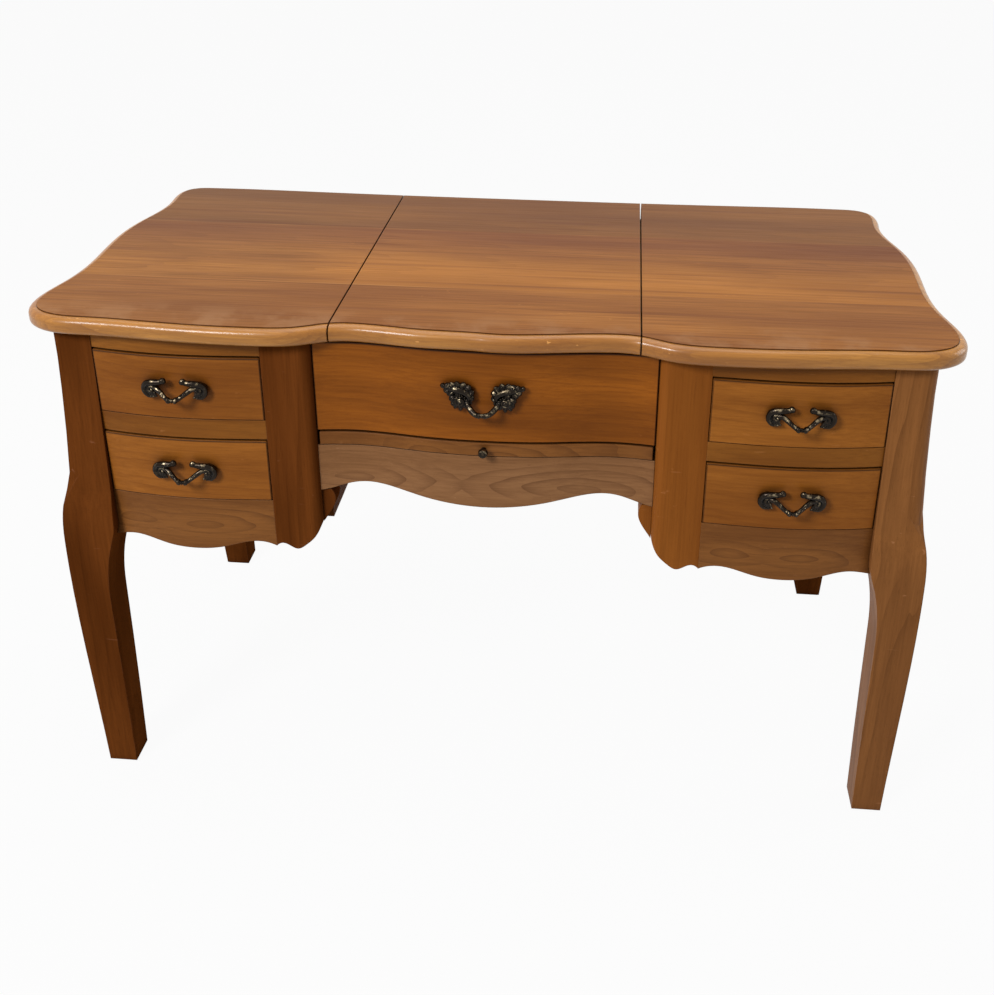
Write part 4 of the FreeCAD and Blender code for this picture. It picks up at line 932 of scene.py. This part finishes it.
class Modeller:
    """Adds the forms of a casting's right half to one rough mesh."""

    AROUND = 14
    STEPS = 8
    CAP_TURNS = (1.35, 1.0, 0.55)
    FIRST_SIDE: Triple = (0.31, -0.94, 0.12)
    LOBE_SEGMENTS = 16
    LOBE_RINGS = 10
    COIL_STEPS = 12
    COIL_DROP = 1.5

    def __init__(self) -> None:
        """Start with nothing."""
        self.rough = bmesh.new()

    def strand(self, knots: Strand) -> None:
        """Add a round strand of changing thickness with rounded ends."""
        path = smooth_path(knots, self.STEPS)
        for end, order in ((0, 1), (-1, -1)):
            point, radius = path[end]
            away = (point - path[end + order][0]).normalized()
            cap = [(point + away * radius * math.sin(turn), radius * math.cos(turn))
                   for turn in self.CAP_TURNS]
            path = cap + path if end == 0 else path + cap[::-1]
        side = Vector(self.FIRST_SIDE)
        rings = []
        for index, (point, radius) in enumerate(path):
            later, earlier = path[min(index + 1, len(path) - 1)][0], path[max(index - 1, 0)][0]
            ahead = (later - earlier).normalized()
            side = (side - ahead * side.dot(ahead)).normalized()
            other = ahead.cross(side)
            turns = (2 * math.pi * number / self.AROUND for number in range(self.AROUND))
            around = (side * math.cos(turn) + other * math.sin(turn) for turn in turns)
            rings.append([self.rough.verts.new(point + away * radius) for away in around])
        for first, second in zip(rings, rings[1:]):
            for number in range(self.AROUND):
                after = (number + 1) % self.AROUND
                self.rough.faces.new((first[number], first[after], second[after], second[number]))
        self.rough.faces.new(reversed(rings[0]))
        self.rough.faces.new(rings[-1])

    def lobe(self, across: float, up: float, out: float, turn: float, size: Triple) -> None:
        """Add a rounded lobe.

        Args:
            across: Middle of the lobe across the drawer, in millimetres.
            up: Middle of the lobe upwards.
            out: Middle of the lobe outwards.
            turn: Angle of its long axis from the horizontal, in degrees.
            size: Half of its length, its depth and its width.
        """
        place = Matrix.Translation(Vector((across, -out, up)) * MM)
        place = place @ Matrix.Rotation(-math.radians(turn), 4, "Y")
        place = place @ Matrix.Diagonal((*[half * MM for half in size], 1.0))
        bmesh.ops.create_uvsphere(self.rough, u_segments=self.LOBE_SEGMENTS,
                                  v_segments=self.LOBE_RINGS, radius=1.0, matrix=place)

    def coil(self, centre: Triple, radii: Band, turns: Band, wire: Band) -> None:
        """Add a flat coil that widens from its eye.

        Args:
            centre: Eye across, up and out, in millimetres.
            radii: First and last radius of the coil.
            turns: First and last angle in degrees.
            wire: First and last radius of its strand.
        """
        knots = []
        for number in range(self.COIL_STEPS + 1):
            share = number / self.COIL_STEPS
            turn = math.radians(turns[0] + (turns[1] - turns[0]) * share)
            radius = radii[0] + (radii[1] - radii[0]) * share
            thick = wire[0] + (wire[1] - wire[0]) * share
            knots.append((centre[0] + radius * math.cos(turn), centre[1] + radius * math.sin(turn),
                          centre[2] - self.COIL_DROP * share, thick))
        self.strand(tuple(knots))

    def take(self, mesh: Mesh, offset: Triple) -> None:
        """Add a mesh at a place across, up and out."""
        mesh.transform(Matrix.Translation(Vector((offset[0], -offset[2], offset[1])) * MM))
        self.rough.from_mesh(mesh)

    def mirror(self) -> None:
        """Add the left half."""
        right = self.rough.faces[:] + self.rough.edges[:] + self.rough.verts[:]
        left = bmesh.ops.duplicate(self.rough, geom=right)["geom"]
        verts = [item for item in left if isinstance(item, bmesh.types.BMVert)]
        faces = [item for item in left if isinstance(item, bmesh.types.BMFace)]
        for vert in verts:
            vert.co.x = -vert.co.x
        bmesh.ops.reverse_faces(self.rough, faces=faces)


@dataclass
class CastPull:
    """One-piece bronze casting of scrolls and leaves with a fixed bail."""

    drawer: str
    kind: PullKind
    place: Triple
    metal: Material
    ornament: Ornament
    voxel: float = 0.0005
    arc_steps: int = 48

    def build(self) -> None:
        """Cast the pull and fix it to its drawer."""
        modeller = Modeller()
        if self.kind is PullKind.SIDE:
            self._side(modeller)
        else:
            self._centre(modeller)
        modeller.mirror()
        mesh = self._cast(modeller)
        mesh.transform(Matrix.Translation(self.place))
        mesh.materials.clear()
        mesh.materials.append(self.metal)
        piece = add_object(f"pull_{self.drawer}", mesh)
        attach(piece, f"drawer_{self.drawer}")
        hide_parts(f"drawer_{self.drawer}_pull")
        LOG.info("cast %s with %d faces", piece.name, len(mesh.polygons))

    def _side(self, modeller: Modeller) -> None:
        """Model the right half of a side pull: a scroll round a fluted shell, and the bail."""
        modeller.strand(((28, -16.5, 4.5, 2.0), (35, -15.6, 5.5, 2.8), (39.8, -9.6, 6, 3.2),
                         (40, -2.6, 6.5, 3.5), (35.5, 3.4, 7.8, 4.0), (27, 5.4, 9, 4.2),
                         (19, 6.0, 9.4, 3.9), (14, 7.2, 9.4, 3.5)))
        modeller.lobe(12.8, 8.0, 9.6, 60, (4.7, 4.1, 4.1))
        modeller.coil((30.5, -6, 9.0), (1.0, 5.2), (-200, 140), (1.7, 2.5))
        modeller.strand(((28, -2.4, 8, 2.6), (23.5, -2.8, 9, 3.5), (17.5, -6.4, 12, 3.5),
                         (11, -10.8, 16, 3.1), (5.5, -13.8, 19.0, 3.1), (0, -14.6, 20.0, 2.2)))
        # rings and swellings of the bail, then the body behind the shell
        for lobe in (
                (15.6, -7.8, 13.2, -38, (1.5, 4.5, 4.5)), (11.6, -10.4, 15.6, -34, (1.3, 4.3, 4.3)),
                (4.8, -14.1, 19.3, -20, (3.4, 4.7, 4.6)), (0, -14.6, 20.0, 0, (0.8, 3.5, 3.5)),
                (33, -5.6, 2.6, 70, (11.2, 3.6, 9.6)), (31.5, 0, 1.5, 0, (5.0, 6.0, 5.0))):
            modeller.lobe(*lobe)
        self._fan(modeller, (29.5, -4.4, 6.2), 6, (8.0, 108.0), 12.0, 2.0)
        self._row(modeller, (29.5, -4.4, 6.4), 12.2, (-2.0, -112.0), 7, 1.7)

    def _centre(self, modeller: Modeller) -> None:
        """Model the right half of the centre pull: a leaf over a rosette, and the bail."""
        modeller.strand(((16, -11, 6, 2.8), (17.5, 0, 8.4, 3.6), (25, 7.0, 10, 4.2),
                         (34, 9.0, 9.2, 4.2), (42, 9.2, 6.8, 3.6), (51, 11.4, 4.6, 2.6)))
        # lobes of the leaf, each with its vein
        for across, up, turn, long in (
                (15.2, -3.6, 172, 4.8), (15.4, 3.4, 152, 5.2), (18.6, 9.4, 128, 5.4),
                (24.8, 12.8, 104, 5.4), (32.4, 13.6, 80, 5.2), (38.8, 13.0, 55, 4.8),
                (40.6, 2.6, -40, 5.6), (31.0, 2.0, -75, 5.6), (45.4, 6.2, -26, 4.6),
                (45, 12.4, 40, 3.8), (38.4, -5.0, -34, 5.0), (36.4, -11.6, -48, 5.0)):
            modeller.lobe(across, up, 6.4, turn, (long * 1.06, 3.8, 4.5))
            modeller.lobe(across, up, 9.0, turn, (long * 0.8, 2.4, 0.9))
        # tip of the leaf
        modeller.lobe(50.4, 11.4, 4.8, 18, (4.0, 3.6, 3.6))
        for across in (46.6, 49.2, 51.8):
            modeller.lobe(across, 10.6 + 0.3 * (across - 46.6), 6.0, 100, (3.0, 2.4, 0.9))
        # rosette and the small leaves below it
        modeller.lobe(28.5, -8, 5.2, 0, (8.4, 4.8, 8.4))
        modeller.coil((28.5, -8, 10.6), (1.0, 6.2), (-120, 400), (1.6, 2.1))
        modeller.lobe(28.5, -8, 10.4, 0, (2.7, 2.5, 2.7))
        for across, up, turn in ((22.5, -15.8, -125), (28.5, -18, -90), (34, -16, -60)):
            modeller.lobe(across, up, 5.0, turn, (5.6, 3.8, 3.2))
            modeller.lobe(across, up, 7.2, turn, (4.4, 2.4, 0.9))
        # bail with its rings, then the body behind the leaf
        modeller.strand(((20.4, -10, 7.0, 3.2), (17.8, -14, 10.4, 3.8), (13.4, -17.8, 15.0, 3.9),
                         (8, -20.8, 18.6, 3.6), (0, -21.8, 19.6, 2.8)))
        for lobe in (
                (7.2, -21.1, 18.8, -10, (1.9, 4.4, 4.4)), (3.6, -21.7, 19.6, 0, (2.2, 4.0, 4.0)),
                (0, -21.8, 19.6, 0, (1.3, 3.2, 3.2)), (28.5, 7.4, 5.0, 12, (18.0, 3.8, 8.4)),
                (30, -1, 2.6, 35, (16.5, 3.4, 12.0)), (27, 0, 1.5, 0, (5.0, 6.0, 5.0))):
            modeller.lobe(*lobe)
        self._row(modeller, (28.5, -8, 8.6), 7.8, (0.0, 360.0), 14, 1.5)

    def _fan(self, modeller: Modeller, eye: Triple, count: int, angles: Band, reach: float,
             thick: float) -> None:
        """Add a fan of ribs round an eye."""
        base = bpy.data.meshes.new("ribs")
        values = {"Count": count, "First Angle": math.radians(angles[0]),
                  "Sweep": math.radians(angles[1] - angles[0]), "Reach": reach * MM,
                  "Thickness": thick * MM, "Metal": self.metal}
        modeller.take(self.ornament.grow(self.ornament.ribs, base, values), eye)

    def _row(self, modeller: Modeller, centre: Triple, radius: float, angles: Band, count: int,
             bead: float) -> None:
        """Add a row of beads on an arc."""
        first, last = angles
        turns = [math.radians(first + (last - first) * number / self.arc_steps)
                 for number in range(self.arc_steps + 1)]
        points = [Vector((math.cos(turn), 0, math.sin(turn))) * radius * MM for turn in turns]
        base = bpy.data.meshes.new("beads")
        base.from_pydata(points, [(number, number + 1) for number in range(self.arc_steps)], [])
        values = {"Count": count, "Bead Radius": bead * MM, "Metal": self.metal}
        modeller.take(self.ornament.grow(self.ornament.beads, base, values), centre)

    def _cast(self, modeller: Modeller) -> Mesh:
        """Melt the rough forms into one skin."""
        rough = bpy.data.meshes.new(f"pull_{self.drawer}_rough")
        modeller.rough.to_mesh(rough)
        modeller.rough.free()
        thing = add_object(rough.name, rough)
        remesh = thing.modifiers.new("melt", "REMESH")
        remesh.mode = "VOXEL"
        remesh.voxel_size = self.voxel
        remesh.use_smooth_shade = True
        settle = thing.modifiers.new("settle", "SMOOTH")
        settle.factor = 0.5
        settle.iterations = 2
        mesh = take_mesh(thing)
        mesh.name = f"pull_{self.drawer}"
        return mesh


@dataclass
class Pulls:
    """Places of the five castings on the drawers."""

    finishes: Finishes
    side_across: float = 0.3975
    side_face: float = -0.260
    levels: tuple[tuple[str, float], ...] = (("upper", 0.6515), ("lower", 0.530))
    centre: Triple = (0.0, -0.256, 0.6555)

    def build(self) -> None:
        """Cast the pulls and fix them."""
        metal = self.finishes.bronze("aged_bronze_pulls")
        ornament = Ornament()
        for row, level in self.levels:
            for side, turn in (("left", -1), ("right", 1)):
                place = (turn * self.side_across, self.side_face, level)
                CastPull(f"{row}_{side}", PullKind.SIDE, place, metal, ornament).build()
        CastPull("centre", PullKind.CENTRE, self.centre, metal, ornament).build()


@dataclass
class PhotoCamera:
    """Camera at the photograph's viewing angle."""

    place: Triple = (0.1645, -1.5561, 1.3488)
    yaw: float = math.radians(-4.13)
    pitch: float = math.radians(23.30)
    roll: float = math.radians(0.66)
    lens: float = 42.25
    sensor: float = 36.0
    shift: Band = (-0.0433, -0.1987)

    def build(self) -> None:
        """Make the camera and give it to the scene."""
        data = bpy.data.cameras.new("photo_camera")
        data.sensor_fit = "HORIZONTAL"
        data.sensor_width = self.sensor
        data.lens = self.lens
        data.shift_x, data.shift_y = self.shift
        camera = add_object("photo_camera", data)
        view = Matrix.Translation(self.place)
        for angle, axis in ((-self.yaw, "Z"), (math.pi / 2 - self.pitch, "X"), (self.roll, "Z")):
            view = view @ Matrix.Rotation(angle, 4, axis)
        camera.matrix_world = view
        bpy.context.scene.camera = camera


@dataclass(frozen=True)
class Lamp:
    """One soft square lamp that looks at a point."""

    name: str
    place: Triple
    target: Triple
    width: float
    power: float

    def hang(self) -> None:
        """Put the lamp into the scene."""
        data = bpy.data.lights.new(self.name, "AREA")
        data.shape = "SQUARE"
        data.size = self.width
        data.energy = self.power
        lamp = add_object(self.name, data)
        lamp.location = self.place
        ahead = Vector(self.target) - Vector(self.place)
        lamp.rotation_euler = ahead.to_track_quat("-Z", "Y").to_euler()


@dataclass
class Studio:
    """Pale floor, soft lamps and white surroundings."""

    floor_half: float = 14.0
    floor_glow: float = 0.95
    sky: float = 0.22
    white: Colour = (1.0, 1.0, 1.0, 1.0)
    floor_tone: Colour = (0.56, 0.56, 0.56, 1.0)
    lamps: tuple[Lamp, ...] = (
        Lamp("overhead", (-0.2, 0.3, 2.9), (0.0, 0.0, 0.6), 2.2, 30.0),
        Lamp("front_left", (-2.0, -2.9, 3.2), (0.0, 0.0, 0.5), 1.1, 120.0),
        Lamp("right_side", (3.0, 0.4, 1.5), (0.5, 0.0, 0.5), 1.4, 22.0),
    )

    def build(self) -> None:
        """Set up the floor, the lamps and the world."""
        bpy.context.scene.view_settings.view_transform = "Standard"
        self._floor()
        for lamp in self.lamps:
            lamp.hang()
        self._world()

    def _seen(self, sheet: NodeSheet) -> Socket:
        """Share of 1 where the camera sees a thing, straight or by reflection."""
        path = sheet.node("ShaderNodeLightPath").outputs
        seen = sheet.math("MAXIMUM", path["Is Camera Ray"], path["Is Glossy Ray"])
        return sheet.math("MAXIMUM", seen, path["Is Transmission Ray"])

    def _floor(self) -> None:
        """Lay a plain floor that keeps the table's shadow and stays close to white."""
        mesh = bpy.data.meshes.new("studio_floor")
        half = self.floor_half
        corners = [(-half, -half, 0), (half, -half, 0), (half, half, 0), (-half, half, 0)]
        mesh.from_pydata(corners, [], [(0, 1, 2, 3)])
        floor = add_object("studio_floor", mesh)
        material = bpy.data.materials.new("studio_floor_paint")
        material.use_nodes = True
        sheet = NodeSheet(material.node_tree)
        paint = sheet.node("ShaderNodeBsdfDiffuse", {"Color": self.floor_tone})
        glow = sheet.node("ShaderNodeEmission", {"Color": self.white, "Strength": 1.0})
        share = sheet.times(self._seen(sheet), self.floor_glow)
        mixed = sheet.node("ShaderNodeMixShader", {0: share, 1: paint, 2: glow})
        sheet.node("ShaderNodeOutputMaterial", {"Surface": mixed})
        mesh.materials.append(material)

    def _world(self) -> None:
        """Surround the table with white that lights it softly."""
        world = bpy.data.worlds.new("studio_world")
        world.use_nodes = True
        sheet = NodeSheet(world.node_tree)
        level = sheet.math("MULTIPLY_ADD", self._seen(sheet), 1.0 - self.sky, self.sky)
        glow = sheet.node("ShaderNodeBackground", {"Color": self.white, "Strength": level})
        sheet.node("ShaderNodeOutputWorld", {"Surface": glow})
        bpy.context.scene.world = world


def main() -> None:
    """Build the dressed table in order."""
    logging.basicConfig(level=logging.INFO)
    for thing in list(bpy.data.objects):
        bpy.data.objects.remove(thing)
    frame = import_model()
    slots = {row["node"]: row["material_slot"] for row in frame["record"]["subparts"]}
    finishes = Finishes(frame["nodes"], slots)
    FlapTop(finishes).dress()
    CaseWork(finishes).dress()
    Drawers(finishes).dress()
    Pulls(finishes).build()
    PhotoCamera().build()
    Studio().build()


if __name__ == "__main__":
    main()
